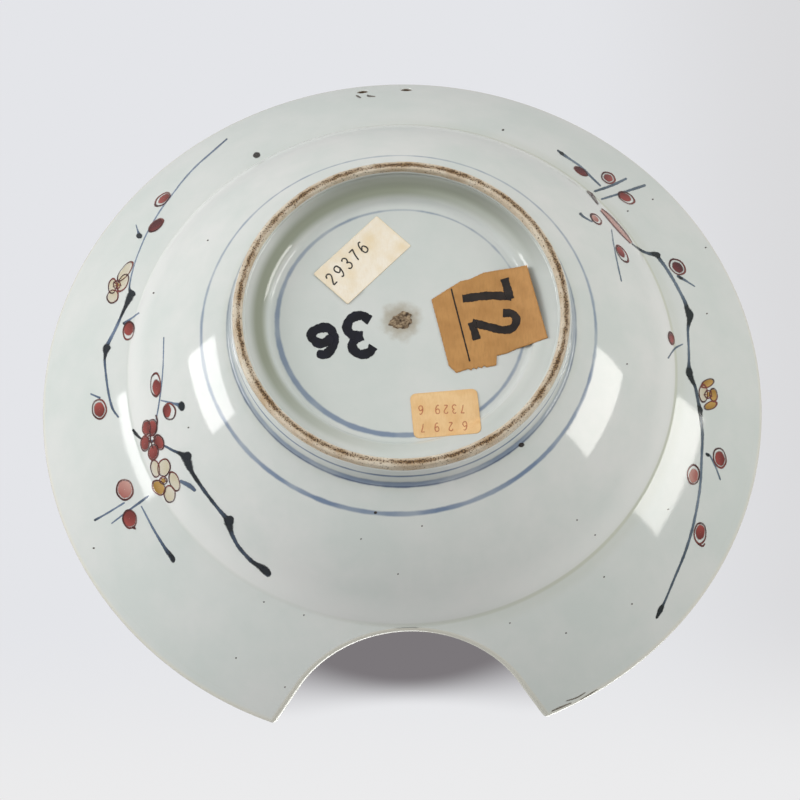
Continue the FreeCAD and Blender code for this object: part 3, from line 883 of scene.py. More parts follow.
camera_data = bpy.data.cameras.new("photo_camera")
camera_data.sensor_width = 36.0
camera_data.lens = 36.0 * FOCAL_PX / 800.0
camera_data.clip_start = 0.05
camera_data.clip_end = 20.0
camera = bpy.data.objects.new("photo_camera", camera_data)
bpy.context.scene.collection.objects.link(camera)
axes = Matrix((RIGHT, UP, -LOOK)).transposed().to_4x4()
camera.matrix_world = Matrix.Translation(Vector(CAMERA_AT * MM)) @ axes
bpy.context.scene.camera = camera


# Underglaze cobalt branches: plum boughs brushed in blue-black on the raw body, so they lie
# under the glaze and their edges bleed a little. Each knot of a bough is a point of the picture
# with the brush's width and load there, and is carried along the camera's sight onto the glaze.
CREASE_FILL = softened(
    on_arc(WALL_C, WALL_R, WALL_HIGH - CORNER_LEGS["crease"] / WALL_R),
    (BOWL["crease"], BOWL["crease_height"]),
    on_arc(FLANGE_C, FLANGE_R + LIP, FLANGE_LOW + CORNER_LEGS["crease"] / (FLANGE_R + LIP)),
    24,
)


def outer_height(r):
    """Height of the outer glazed surface at distance r from the axis: wall, crease or flange."""
    r = np.asarray(r, float)
    wall = WALL_C[1] - np.sqrt(np.maximum(WALL_R ** 2 - (r - WALL_C[0]) ** 2, 0))
    reach = np.maximum((FLANGE_R + LIP) ** 2 - (r - FLANGE_C[0]) ** 2, 0)
    height = np.where(r < BOWL["crease"], wall, FLANGE_C[1] - np.sqrt(reach))
    in_crease = (r > CREASE_FILL[0, 0]) & (r < CREASE_FILL[-1, 0])
    return np.where(in_crease, np.interp(r, CREASE_FILL[:, 0], CREASE_FILL[:, 1]), height)


def outer_normal(points):
    """Unit vectors square to the outer surface, away from the bowl."""
    r = np.hypot(points[..., 0], points[..., 1])
    on_wall = np.arcsin(np.clip((r - WALL_C[0]) / WALL_R, -1, 1))
    on_flange = np.arcsin(np.clip((r - FLANGE_C[0]) / (FLANGE_R + LIP), -1, 1))
    slope = np.where(r < BOWL["crease"], on_wall, on_flange)
    flat = np.sin(slope) / r
    return np.stack([points[..., 0] * flat, points[..., 1] * flat, -np.cos(slope)], -1)


def sight_lines(pixels):
    """Directions of the camera's rays through picture points."""
    u = (pixels[..., 0] - PICTURE_MIDDLE)[..., None] / FOCAL_PX
    v = (pixels[..., 1] - PICTURE_MIDDLE)[..., None] / FOCAL_PX
    return LOOK + u * RIGHT - v * UP


def onto_outside(pixels, lift):
    """Points of the outer surface behind picture points, raised by lift millimetres.

    Each ray is stepped from the height of the foot's root to that of the rim, and the crossing
    with the surface is found between the two steps where the sign of the height changes.
    """
    way = sight_lines(pixels)
    heights = np.linspace(BOWL["root_height"], BOWL["lip_height"], 140)
    reach = (heights - CAMERA_AT[2]) / way[..., 2:3]
    x = CAMERA_AT[0] + reach * way[..., 0:1]
    y = CAMERA_AT[1] + reach * way[..., 1:2]
    gap = heights - outer_height(np.hypot(x, y))
    crossing = (gap[..., :-1] < 0) & (gap[..., 1:] >= 0)
    first = np.argmax(crossing, axis=-1)[..., None]
    before = np.take_along_axis(gap, first, -1)
    after = np.take_along_axis(gap, first + 1, -1)
    share = before / (before - after)
    start = np.take_along_axis(reach, first, -1)
    end = np.take_along_axis(reach, first + 1, -1)
    points = CAMERA_AT + (start * (1 - share) + end * share) * way
    return points + outer_normal(points) * lift


def onto_plane(pixels, height):
    """Points of a level plane behind picture points."""
    way = sight_lines(pixels)
    return CAMERA_AT + (height - CAMERA_AT[2]) / way[..., 2:3] * way


def smooth_path(knots, step):
    """Catmull-Rom curve through knots of place, width and tone, resampled at an even step."""
    knots = np.asarray(knots, float)
    padded = np.concatenate([2 * knots[:1] - knots[1:2], knots, 2 * knots[-1:] - knots[-2:-1]])
    t = np.linspace(0, 1, 12, endpoint=False)[:, None]
    runs = []
    for k in range(len(knots) - 1):
        a, b, c, d = padded[k:k + 4]
        runs.append(
            b + 0.5 * t * (c - a + t * (2 * a - 5 * b + 4 * c - d + t * (3 * (b - c) + d - a)))
        )
    line = np.concatenate(runs + [knots[-1:]])
    length = np.concatenate([[0], np.cumsum(np.hypot(*np.diff(line[:, :2], axis=0).T))])
    stops = np.linspace(0, length[-1], max(3, int(length[-1] / step) + 1))
    return np.stack([np.interp(stops, length, line[:, k]) for k in range(4)], -1), stops


ACROSS = np.array([-1.35, -0.85, -0.4, 0.4, 0.85, 1.35])
ACROSS_INK = np.array([0.0, 0.7, 1.0, 1.0, 0.7, 0.0])


def stroke(knots, step=1.1, square=False):
    """Brush stroke through knots of u, v, width and tone: grid, ink, closed or not, tone.

    The grid's rows run along the stroke and its columns across it. The ends are rounded off
    unless they are square, and the width breathes a little along the way.
    """
    line, stops = smooth_path(knots, step)
    along = np.gradient(line[:, :2], axis=0)
    along /= np.maximum(np.linalg.norm(along, axis=1), 1e-6)[:, None]
    side = np.stack([-along[:, 1], along[:, 0]], -1)
    half = np.maximum(line[:, 2], 0.6) / 2
    end = np.minimum(stops, stops[-1] - stops)
    if square:
        round_off = np.ones(len(stops))
        ends = np.ones(len(stops))
    else:
        round_off = np.sqrt(np.clip(1 - (1 - np.clip(end / half, 0, 1)) ** 2, 0.08, 1))
        ends = np.where(end > 0, 1, 0.3)
    breath = 1 + 0.06 * np.sin(stops * 0.45 + line[0, 0]) + 0.04 * np.sin(stops * 1.3)
    width = (half * round_off * breath)[:, None, None]
    grid = line[:, None, :2] + side[:, None] * ACROSS[None, :, None] * width
    ink = ACROSS_INK[None] * ends[:, None]
    return grid, ink, False, line[:, 3:] * np.ones(len(ACROSS))


def oval(centre, semi, turn, shares, uneven, count):
    """Picture points of an oval at shares of its size, one row for each step round it."""
    angle = np.linspace(0, 2 * math.pi, count, endpoint=False)
    lean = math.radians(turn)
    wave = 1 + uneven * (np.sin(2 * angle + centre[0]) + 0.6 * np.sin(5 * angle + centre[1]))
    flat = np.stack([np.cos(angle), np.sin(angle)], -1) * np.asarray(semi) * wave[:, None]
    flat = flat[:, None] * np.asarray(shares)[None, :, None]
    x = flat[..., 0] * math.cos(lean) - flat[..., 1] * math.sin(lean)
    y = flat[..., 0] * math.sin(lean) + flat[..., 1] * math.cos(lean)
    return np.stack([x, y], -1) + np.asarray(centre), angle


def loop_stroke(centre, semi, turn, width):
    """Closed line round an oval, fading where the brush was lifted."""
    shares = 1 + ACROSS * width / 2 / np.mean(semi)
    grid, angle = oval(centre, semi, turn, shares, 0.03, 28)
    fade = np.clip(0.92 + 0.3 * np.sin(angle + centre[1]), 0, 1)
    tone = 0.5 + 0.4 * np.sin(angle + centre[0])
    return grid, fade[:, None] * ACROSS_INK[None], True, tone[:, None] * np.ones(len(ACROSS))


def blot(centre, semi, turn=0.0, depth=0.5):
    """Filled oval dab, darker towards one side where the paint gathered."""
    shares = [1.15, 0.88, 0.6, 0.3, 0.02]
    grid, angle = oval(centre, semi, turn, shares, 0.04, 22)
    ink = np.array([0.0, 0.8, 1.0, 1.0, 1.0])[None] * np.ones(len(angle))[:, None]
    tone = depth + 0.5 * np.sin(angle + centre[0] * 0.7)[:, None] * np.array(shares)[None]
    return grid, ink, True, np.clip(tone, 0, 1)


def grid_faces(rows, columns, closed, first):
    """Quads of a grid that starts at a vertex number, closed along its rows if asked."""
    index = first + np.arange(rows * columns).reshape(rows, columns)
    after = np.roll(index, -1, axis=0)
    if not closed:
        index, after = index[:-1], after[:-1]
    return np.stack([index[:, :-1], after[:, :-1], after[:, 1:], index[:, 1:]], -1).reshape(-1, 4)


def painted(name, marks, material, place_marks, lift, seen_from=CAMERA_AT):
    """One painted piece from many marks, each a hair above the last so that none coincide."""
    points, faces, inks, tones = [], [], [], []
    total = 0
    for number, (grid, ink, closed, tone) in enumerate(marks):
        placed = place_marks(grid, lift + 0.0006 * number)
        quads = grid_faces(*grid.shape[:2], closed, total)
        corner = placed.reshape(-1, 3)[quads[0] - total]
        normal = np.cross(corner[1] - corner[0], corner[3] - corner[0])
        if normal @ (corner[0] - seen_from) > 0:
            quads = quads[:, ::-1]
        points.append(placed.reshape(-1, 3))
        faces.append(quads)
        inks.append(ink.ravel())
        tones.append(tone.ravel())
        total += placed.shape[0] * placed.shape[1]
    return lay_mesh(
        name,
        np.concatenate(points),
        np.concatenate(faces).tolist(),
        material,
        {"ink": np.concatenate(inks), "tone": np.concatenate(tones)},
    )


def stroke_cover(tree, place, fray, fray_size, hardness, cover):
    """How far a stroke hides its ground: wholly in its middle, and frayed at its edges."""
    ink = add(tree, "ShaderNodeAttribute", out="Fac", attribute_name="ink")
    grain = add(tree, "ShaderNodeTexNoise", {0: place, "Scale": 1 / (fray_size * MM), "Detail": 3.0})
    rough = add(tree, "ShaderNodeMath", {0: grain, 1: fray, 2: -fray / 2}, operation="MULTIPLY_ADD")
    edge = add(tree, "ShaderNodeMath", {0: ink, 1: rough}, operation="ADD")
    ends = {"From Min": 0.5 - hardness, "From Max": 0.5 + hardness, "To Max": cover}
    amount = add(
        tree, "ShaderNodeMapRange", {"Value": edge, **ends}, interpolation_type="SMOOTHSTEP"
    )
    fringe = add(tree, "ShaderNodeMapRange", {"Value": ink, "From Max": 0.12})
    return add(tree, "ShaderNodeMath", {0: amount, 1: fringe}, operation="MULTIPLY")


def brush_colour(name, wash, full, hardness, cover=1.0, dry=1.0):
    """Pigment in the glaze: a wash where the brush ran dry and full colour where it was loaded.

    dry is the share of the cover that is left where the tone is lightest.
    """
    material, tree = new_material(name)
    place = add(tree, "ShaderNodeTexCoord", out="Object")
    amount = stroke_cover(tree, place, 0.5, 0.5, hardness, cover)
    load = add(tree, "ShaderNodeTexNoise", {0: place, "Scale": 1 / (7 * MM), "Detail": 2.0})
    tone = add(tree, "ShaderNodeAttribute", out="Fac", attribute_name="tone")
    uneven = add(tree, "ShaderNodeMath", {0: load, 1: 0.6, 2: -0.3}, operation="MULTIPLY_ADD")
    depth = add(tree, "ShaderNodeMath", {0: tone, 1: uneven}, operation="ADD")
    depth = add(tree, "ShaderNodeMapRange", {"Value": depth, "From Max": 0.8})
    tones = {6: colour(wash), 7: colour(full)}
    paint = add(tree, "ShaderNodeMix", {0: depth, **tones}, 2, data_type="RGBA")
    wet = add(
        tree, "ShaderNodeMapRange", {"Value": depth, "From Max": 0.7, "To Min": dry, "To Max": 1.0}
    )
    amount = add(tree, "ShaderNodeMath", {0: amount, 1: wet}, operation="MULTIPLY")
    glaze_finish(tree, paint, place, amount)
    return material


LEFT_BOUGHS = [
    [(227.7, 138.4, 1.6, 0.6), (214.9, 149.6, 1.7, 0.3), (196.5, 165.9, 1.6, 0.1),
     (183.3, 180.2, 1.5, 0.1), (173.1, 193.5, 1.4, 0.0), (162.9, 206.7, 1.5, 0.0),
     (155.7, 218.0, 1.5, 0.0), (146.5, 234.3, 1.4, 0.0), (139.4, 250.6, 1.3, 0.0),
     (134.3, 264.9, 1.3, 0.0), (130.5, 280.0, 1.5, 0.1), (129.5, 288.5, 2.0, 0.6),
     (131.0, 294.0, 6.6, 1.0), (127.2, 303.0, 4.8, 1.0), (122.6, 313.0, 2.6, 0.9),
     (116.0, 328.0, 3.0, 0.2), (108.6, 342.5, 3.6, 0.5), (106.4, 348.0, 6.4, 1.0),
     (105.3, 355.0, 3.4, 1.0), (104.7, 361.0, 2.4, 0.6), (105.8, 373.0, 2.2, 0.4),
     (108.2, 391.2, 2.2, 0.35), (112.4, 408.1, 2.4, 0.5), (119.0, 418.0, 1.6, 0.3)],
    [(132.4, 428.7, 1.8, 0.9), (136.0, 434.0, 3.2, 1.0), (142.0, 439.0, 2.0, 0.8),
     (154.0, 441.5, 1.8, 0.4), (165.2, 446.2, 2.2, 0.4), (173.0, 450.5, 2.6, 0.5),
     (181.0, 454.0, 4.4, 0.9), (186.3, 458.4, 9.0, 1.0), (189.6, 467.0, 6.2, 1.0),
     (193.6, 475.0, 4.0, 0.85), (204.8, 491.4, 3.5, 0.7), (217.6, 508.0, 3.3, 0.65),
     (224.5, 516.0, 4.6, 0.75), (228.2, 521.0, 8.4, 0.85), (230.0, 527.5, 6.2, 0.9),
     (232.5, 535.5, 4.0, 0.7), (239.2, 547.6, 3.7, 0.65), (250.7, 560.3, 4.0, 0.75),
     (259.0, 566.0, 5.4, 0.9), (265.6, 570.6, 7.6, 1.0), (270.0, 576.5, 4.6, 1.0)],
    [(163.9, 336.6, 1.2, 0.2), (162.7, 373.0, 1.3, 0.1), (159.1, 403.3, 1.5, 0.2),
     (156.0, 420.3, 1.2, 0.2)],
    [(160.3, 400.3, 1.4, 0.1), (174.8, 403.8, 2.6, 0.2), (180.0, 405.4, 6.4, 0.55),
     (182.8, 407.0, 9.5, 0.8)],
    [(179.3, 480.6, 3.4, 0.3), (189.5, 485.7, 4.4, 0.4), (195.9, 491.4, 3.4, 0.6)],
    [(90.0, 393.6, 1.6, 0.2), (100.9, 398.4, 2.2, 0.5)],
    [(139.7, 312.4, 1.6, 0.1), (130.0, 319.5, 2.0, 0.2), (122.7, 324.5, 3.4, 0.9)],
    [(93.8, 520.8, 2.2, 0.7), (108.0, 512.8, 1.8, 0.3), (125.1, 502.3, 1.8, 0.2)],
    [(111.0, 524.0, 1.4, 0.2), (126.0, 512.5, 1.8, 0.3), (141.0, 501.6, 2.4, 0.5),
     (149.3, 495.3, 1.8, 0.3)],
    [(141.0, 505.5, 1.5, 0.1), (153.8, 529.7, 2.2, 0.3), (165.0, 548.0, 3.2, 0.6),
     (171.2, 556.5, 4.8, 1.0), (173.7, 563.0, 2.2, 1.0)],
    [(135.8, 224.1, 1.0, 0.2), (138.0, 231.5, 1.8, 0.4), (139.4, 236.3, 5.4, 0.5)],
]
RIGHT_BOUGHS = [
    [(556.8, 149.9, 1.8, 0.7), (562.4, 154.0, 2.8, 0.5), (572.0, 160.5, 2.0, 0.2),
     (580.8, 166.7, 2.0, 0.3), (588.0, 173.9, 2.4, 0.3), (601.2, 186.6, 1.7, 0.3)],
    [(593.6, 191.7, 2.3, 0.4), (610.4, 186.1, 2.6, 0.5), (627.2, 178.3, 2.4, 0.3)],
    [(600.5, 199.6, 2.0, 0.3), (617.6, 194.3, 2.2, 0.3), (646.1, 185.0, 2.8, 0.4)],
    [(579.3, 212.7, 2.6, 0.6), (583.9, 217.0, 2.2, 0.4), (593.1, 222.3, 1.3, 0.2)],
    [(611.5, 229.0, 1.2, 0.1), (613.8, 245.0, 1.3, 0.1), (618.0, 266.0, 1.5, 0.2),
     (621.6, 282.0, 1.4, 0.3)],
    [(631.3, 243.3, 1.4, 0.8), (641.0, 250.4, 2.4, 0.7), (648.2, 253.4, 3.0, 0.6),
     (656.2, 254.8, 4.6, 0.9), (660.5, 260.5, 3.2, 0.5), (666.4, 268.5, 3.0, 0.35),
     (676.0, 284.5, 3.0, 0.3), (684.0, 300.0, 3.2, 0.4), (687.0, 308.5, 4.8, 0.9),
     (689.8, 316.0, 6.6, 1.0), (688.8, 323.5, 3.8, 0.9), (687.9, 331.0, 2.6, 0.5),
     (688.8, 351.1, 2.4, 0.3), (688.9, 365.0, 3.2, 0.6), (689.3, 373.0, 6.6, 1.0),
     (692.2, 380.5, 4.0, 0.9), (695.4, 387.5, 3.0, 0.6), (697.8, 400.0, 3.0, 0.5),
     (700.2, 411.5, 4.0, 0.9), (701.0, 420.0, 3.0, 0.6), (702.4, 435.1, 2.8, 0.5),
     (701.7, 456.1, 2.6, 0.4), (700.3, 484.2, 2.6, 0.2), (696.8, 508.0, 2.6, 0.3),
     (691.9, 530.4, 2.7, 0.4), (684.9, 552.9, 2.6, 0.5), (675.1, 576.7, 2.3, 0.5),
     (665.0, 601.0, 2.2, 0.6), (660.8, 609.0, 4.6, 1.0), (656.1, 619.0, 2.2, 1.0)],
    [(676.6, 275.4, 3.0, 0.7), (682.1, 278.5, 2.4, 0.4), (695.4, 286.9, 1.2, 0.2)],
    [(667.6, 359.0, 1.4, 0.2), (674.8, 348.7, 1.8, 0.3), (683.3, 343.9, 1.4, 0.2)],
    [(705.2, 453.3, 2.4, 0.7), (710.1, 456.1, 1.8, 0.4), (716.0, 468.0, 1.7, 0.3),
     (720.6, 480.6, 1.5, 0.3)],
]
# Knots of the boughs: centre, half axes and turn of a dab on the stroke.
LEFT_NODES = [
    ((132.6, 293.6), (2.8, 3.4), -30), ((107.2, 347.6), (3.4, 3.6), 0),
    ((187.8, 455.8), (4.2, 4.0), 20), ((229.6, 520.6), (4.4, 5.0), 10),
    ((266.0, 571.4), (5.4, 3.8), 40), ((172.4, 558.2), (2.6, 4.4), -25),
    ((139.3, 236.0), (3.0, 2.8), 0), ((181.8, 406.2), (3.2, 4.8), 0),
]
RIGHT_NODES = [
    ((657.6, 254.6), (3.2, 2.2), 30), ((690.0, 315.0), (3.6, 5.0), -10),
    ((689.4, 372.6), (3.4, 4.2), 0), ((700.4, 411.0), (2.4, 4.2), 0),
    ((660.6, 609.4), (2.2, 4.6), 25), ((561.6, 153.4), (2.6, 1.7), 35),
    ((680.6, 278.0), (2.6, 1.6), 30), ((708.0, 455.0), (2.2, 1.6), 30),
]
BOUGH_INK = {"left": ("#7187A6", "#1B2127"), "right": ("#73869A", "#1A2223")}


def strokes(lines):
    """One stroke for each list of knots."""
    return [stroke(line) for line in lines]


bough_paint = {}
bough_marks = {
    "left": strokes(LEFT_BOUGHS) + [blot(*node, 1.2) for node in LEFT_NODES],
    "right": strokes(RIGHT_BOUGHS) + [blot(*node, 1.2) for node in RIGHT_NODES],
}
for title, marks in bough_marks.items():
    bough_paint[title] = brush_colour(
        "cobalt_under_glaze_" + title, *BOUGH_INK[title], 0.42, 0.97, 0.62
    )
    painted("underglaze_boughs_" + title, marks, bough_paint[title], onto_outside, 0.03)


# Overglaze enamels: iron-red outlines and dabs for the plum buds and blossoms, and thin gold
# and cream for the pale ones. They were painted on the fired glaze and fired once more.
ENAMELS = {
    "red": ("#9C4740", "#74302B", 0.95),
    "maroon": ("#6E2B2A", "#4A1C1E", 0.95),
    "blush": ("#CB988C", "#AC6258", 0.75),
    "cream": ("#E2D9C4", "#D6C9A8", 0.6),
    "gold": ("#C29C55", "#A17A34", 0.9),
}
OUTLINE_ENAMEL = ("#7A3D36", "#45201F")
# Each bud: centre, half axes and turn of its outline, then centre, half axes and enamel of its fill.
BUDS = [
    ((162.6, 199.6), (9.2, 4.3), -42, (163.8, 198.8), (6.6, 3.2), "red"),
    ((156.2, 225.4), (9.0, 4.0), -42, (156.2, 225.4), (9.0, 4.0), "maroon"),
    ((128.8, 330.8), (5.4, 9.0), 6, (129.0, 328.8), (5.0, 6.8), "red"),
    ((155.7, 384.8), (5.1, 11.2), 0, (156.8, 387.6), (4.3, 8.0), "red"),
    ((99.4, 409.3), (7.2, 9.4), 0, (99.4, 409.6), (5.6, 7.2), "red"),
    ((169.6, 411.6), (6.0, 8.0), 0, (167.4, 410.8), (3.8, 6.8), "red"),
    ((124.9, 489.8), (8.4, 9.9), 0, (124.9, 489.4), (7.3, 8.8), "blush"),
    ((129.8, 519.2), (6.9, 8.8), -12, (129.6, 518.6), (6.6, 8.2), "red"),
    ((580.7, 171.4), (7.0, 2.9), 34, (580.7, 171.4), (7.2, 3.1), "maroon"),
    ((608.2, 178.0), (7.2, 4.8), 28, (608.2, 178.0), (5.2, 3.3), "red"),
    ((626.4, 198.0), (9.0, 4.5), 32, (625.0, 197.2), (6.6, 3.6), "red"),
    ((596.0, 219.2), (6.8, 3.2), 42, (595.0, 218.6), (4.8, 2.2), "blush"),
    ((622.0, 254.0), (9.6, 3.7), 55, (620.6, 252.2), (6.6, 2.6), "red"),
    ((677.2, 267.0), (9.4, 6.0), 42, (677.6, 267.4), (6.8, 4.2), "maroon"),
    ((671.2, 338.4), (6.2, 2.6), 75, (671.2, 338.4), (5.0, 2.0), "red"),
    ((719.6, 458.0), (6.2, 9.8), -15, (719.8, 458.6), (4.9, 7.4), "red"),
    ((693.3, 474.6), (5.8, 9.8), 0, (693.5, 475.8), (4.5, 7.4), "blush"),
    ((700.0, 533.4), (5.8, 10.6), 0, (700.2, 532.2), (4.5, 7.6), "red"),
]
# Petals of each blossom: centre, half axes, turn, and the enamel inside.
PETALS = [
    ((146.6, 427.6), (3.9, 7.4), 0, "red"),
    ((152.6, 427.4), (4.5, 8.2), 0, "red"),
    ((145.2, 443.6), (4.2, 7.6), 4, "red"),
    ((159.2, 442.4), (4.6, 7.8), -18, "red"),
    ((153.6, 452.2), (4.9, 7.8), 6, "red"),
    ((155.4, 468.6), (4.5, 8.4), -10, "cream"),
    ((164.2, 467.6), (6.0, 8.8), 12, "cream"),
    ((174.6, 481.4), (4.9, 9.6), -18, "cream"),
    ((169.8, 494.0), (5.6, 8.4), 0, "cream"),
    ((159.0, 487.6), (5.8, 8.2), -35, "gold"),
    ((125.2, 271.6), (4.2, 11.6), 38, "cream"),
    ((123.0, 283.0), (4.6, 9.0), 24, "cream"),
    ((112.6, 286.2), (4.0, 7.2), 10, "cream"),
    ((112.8, 296.6), (5.4, 6.6), 30, "cream"),
    ((707.5, 383.4), (3.8, 6.6), 60, "gold"),
    ((713.4, 395.0), (3.8, 6.4), -8, "gold"),
    ((710.4, 405.6), (3.7, 6.6), 70, "gold"),
    ((703.2, 393.5), (4.3, 8.6), 0, "cream"),
]
HEARTS = [(151.6, 438.6), (163.6, 480.6), (117.0, 285.0), (708.0, 394.5)]
RED_LINES = [
    [(586.4, 190.8, 1.4, 0.8), (592.0, 195.6, 3.2, 0.9), (598.4, 205.0, 1.4, 0.9)],
    [(601.0, 208.4, 0.9, 0.3), (609.4, 214.9, 1.2, 0.3), (617.4, 223.3, 1.2, 0.3),
     (625.4, 232.8, 1.1, 0.4), (632.4, 243.2, 0.9, 0.4)],
    [(600.0, 210.4, 0.8, 0.2), (606.2, 217.3, 1.1, 0.2), (613.6, 226.1, 1.1, 0.2),
     (621.6, 234.9, 1.0, 0.2), (630.8, 244.0, 0.8, 0.2)],
    [(698.0, 543.6, 1.6, 0.5), (702.4, 546.2, 1.8, 0.5), (705.0, 543.0, 1.2, 0.3)],
    [(132.8, 526.4, 3.0, 0.8), (136.2, 529.6, 1.4, 0.9)],
    [(150.0, 430.0, 1.1, 0.9), (151.0, 441.0, 1.2, 0.9), (153.6, 449.0, 1.0, 0.9)],
    [(156.0, 414.5, 1.4, 0.9), (157.5, 422.0, 1.3, 0.9), (155.5, 434.0, 1.1, 0.8)],
]
BLUSH_LINES = [
    [(600.6, 209.4, 1.2, 0.0), (607.8, 216.0, 2.8, 0.0), (615.4, 224.8, 3.2, 0.0),
     (623.4, 233.8, 2.8, 0.0), (631.6, 243.6, 1.2, 0.0)],
]
outlines = [loop_stroke(bud[0], bud[1], bud[2], 1.7) for bud in BUDS]
outlines += [loop_stroke(petal[0], petal[1], petal[2], 1.4) for petal in PETALS]
for heart in HEARTS:
    outlines.append(loop_stroke(heart, (3.6, 3.8), 0, 1.2))
    for spoke in range(5):
        angle = 2 * math.pi * spoke / 5 + heart[0]
        way = (math.cos(angle), math.sin(angle))
        outlines.append(
            stroke([(heart[0] + way[0] * reach, heart[1] + way[1] * reach, 0.9, 0.6)
                    for reach in (1.0, 3.0, 5.2)])
        )
dabs = {key: [] for key in ENAMELS}
for _, _, turn, fill, fill_semi, key in BUDS:
    dabs[key].append(blot(fill, fill_semi, turn))
for centre, semi, turn, key in PETALS:
    dabs[key].append(blot(centre, (semi[0] * 0.88, semi[1] * 0.9), turn))
dabs["gold"] += [blot(heart, (2.4, 2.6)) for heart in HEARTS[1:]]
dabs["blush"] += strokes(BLUSH_LINES)
enamel_paint = {}
for key, (wash, full, cover) in ENAMELS.items():
    enamel_paint[key] = brush_colour("enamel_" + key, wash, full, 0.35, cover)
    painted("enamel_dabs_" + key, dabs[key], enamel_paint[key], onto_outside, 0.08)
outline_paint = brush_colour("iron_red_line", *OUTLINE_ENAMEL, 0.4)
painted("enamel_outlines", outlines + strokes(RED_LINES), outline_paint, onto_outside, 0.11)


# The face side is out of the photograph's sight. It repeats the sprays of the outside, straight
# through the clay, in the same cobalt and enamels.
FACE_EYE = np.array([0.0, 0.0, 900.0])
RIDGE_R = meeting(WALL_C, INNER_WALL_R, FLANGE_C, FLANGE_R - LIP)[0]


def onto_face(pixels, lift):
    """Points of the face side straight behind the outside's, raised by lift millimetres."""
    points = onto_outside(pixels, 0)
    r = np.hypot(points[..., 0], points[..., 1])
    on_wall = np.arcsin(np.clip((r - WALL_C[0]) / INNER_WALL_R, -1, 1))
    on_flange = np.arcsin(np.clip((r - FLANGE_C[0]) / (FLANGE_R - LIP), -1, 1))
    wall_z = WALL_C[1] - INNER_WALL_R * np.cos(on_wall)
    flange_z = FLANGE_C[1] - (FLANGE_R - LIP) * np.cos(on_flange)
    slope = np.where(r < RIDGE_R, on_wall, on_flange)
    height = np.where(r < RIDGE_R, wall_z, flange_z)
    flat = -np.sin(slope) / r
    up = np.stack([points[..., 0] * flat, points[..., 1] * flat, np.cos(slope)], -1)
    return np.concatenate([points[..., :2], height[..., None]], -1) + up * lift


for title, marks in bough_marks.items():
    painted("face_boughs_" + title, marks, bough_paint[title], onto_face, 0.03, FACE_EYE)
for key, marks in dabs.items():
    painted("face_enamel_" + key, marks, enamel_paint[key], onto_face, 0.08, FACE_EYE)
painted(
    "face_enamel_outlines", outlines + strokes(RED_LINES), outline_paint, onto_face, 0.11, FACE_EYE
)


# Iron specks: grains of iron in the clay that burnt through the glaze in the kiln as pin-prick
# brown and black dots. They lie under the surface and are scattered without order.
SPECKS = [
    ((256.7, 155.2), 4.8), ((207.8, 240.4), 1.2), ((153.6, 293.0), 1.4), ((188.5, 427.6), 1.2),
    ((93.8, 548.2), 1.4), ((503.0, 130.0), 1.6), ((706.9, 313.6), 1.2), ((705.7, 247.6), 1.2),
    ((652.8, 199.4), 1.2), ((627.8, 211.1), 1.2), ((668.1, 509.4), 1.2), ((595.0, 535.0), 1.1),
    ((577.0, 520.0), 1.1), ((604.0, 577.0), 1.2), ((632.0, 604.0), 1.2), ((510.0, 623.0), 1.1),
    ((236.0, 658.0), 1.2), ((285.0, 687.0), 1.1), ((304.0, 615.0), 1.1), ((264.0, 602.0), 1.1),
    ((361.0, 539.0), 1.1), ((422.0, 526.0), 1.2), ((398.0, 574.0), 1.1), ((627.0, 364.0), 1.1),
    ((566.0, 633.0), 1.2), ((375.5, 512.6), 2.2), ((521.4, 445.0), 3.8), ((340.0, 449.5), 1.4),
]
CHIPS = [
    [(551.0, 711.5, 1.0, 0.3), (561.0, 707.0, 1.6, 0.1), (572.0, 702.5, 0.9, 0.0)],
    [(566.0, 701.0, 0.9, 0.1), (577.0, 697.5, 1.3, 0.2), (586.0, 692.0, 0.9, 0.0)],
    [(580.0, 700.0, 0.9, 0.0), (590.0, 694.0, 1.2, 0.2), (598.0, 689.0, 0.8, 0.0)],
    [(366.5, 95.6, 2.2, 0.5), (371.0, 96.4, 1.6, 0.2), (376.0, 96.6, 0.8, 0.0)],
    [(355.5, 95.2, 1.2, 0.2), (358.5, 96.8, 2.0, 0.4), (361.5, 98.0, 1.0, 0.2)],
]
painted(
    "iron_specks",
    [
        blot(centre, (size * 0.8, size * 0.6), -20, 0.3 + 0.2 * size)
        for centre, size in SPECKS
    ]
    + strokes(CHIPS),
    brush_colour("burnt_iron", "#77695A", "#2A2320", 0.4, 0.9, 0.7),
    onto_outside,
    0.04,
)


# The paper labels and the torn card: stuck on the base long after the bowl was made. Each is a
# thin closed sheet, flat where the paste holds it and lifting at its free side.
# lift: a point and a way from it, how far along that way the paper rises from and to, and how much.
PAPERS = {
    "cream_label": {
        "tint": "#F0E8D8", "stain": "#E8D7B6", "fibre": "#E2D3B4", "thick": 0.16,
        "lift": ((13.7, 24.8), (0.7, -0.7), 6.0, 10.0, 0.25),
    },
    "buff_label": {
        "tint": "#E8C592", "stain": "#DDB27B", "fibre": "#CDA06A", "thick": 0.16,
        "lift": ((-15.0, -36.9), (-1.0, 0.0), 8.0, 12.0, 0.2),
    },
    "torn_label": {
        "tint": "#BC8C53", "stain": "#AC7D47", "fibre": "#8F683B", "thick": 0.32,
        "lift": ((-31.4, -1.2), (-1.0, 0.2), 6.0, 20.0, 5.6),
    },
}


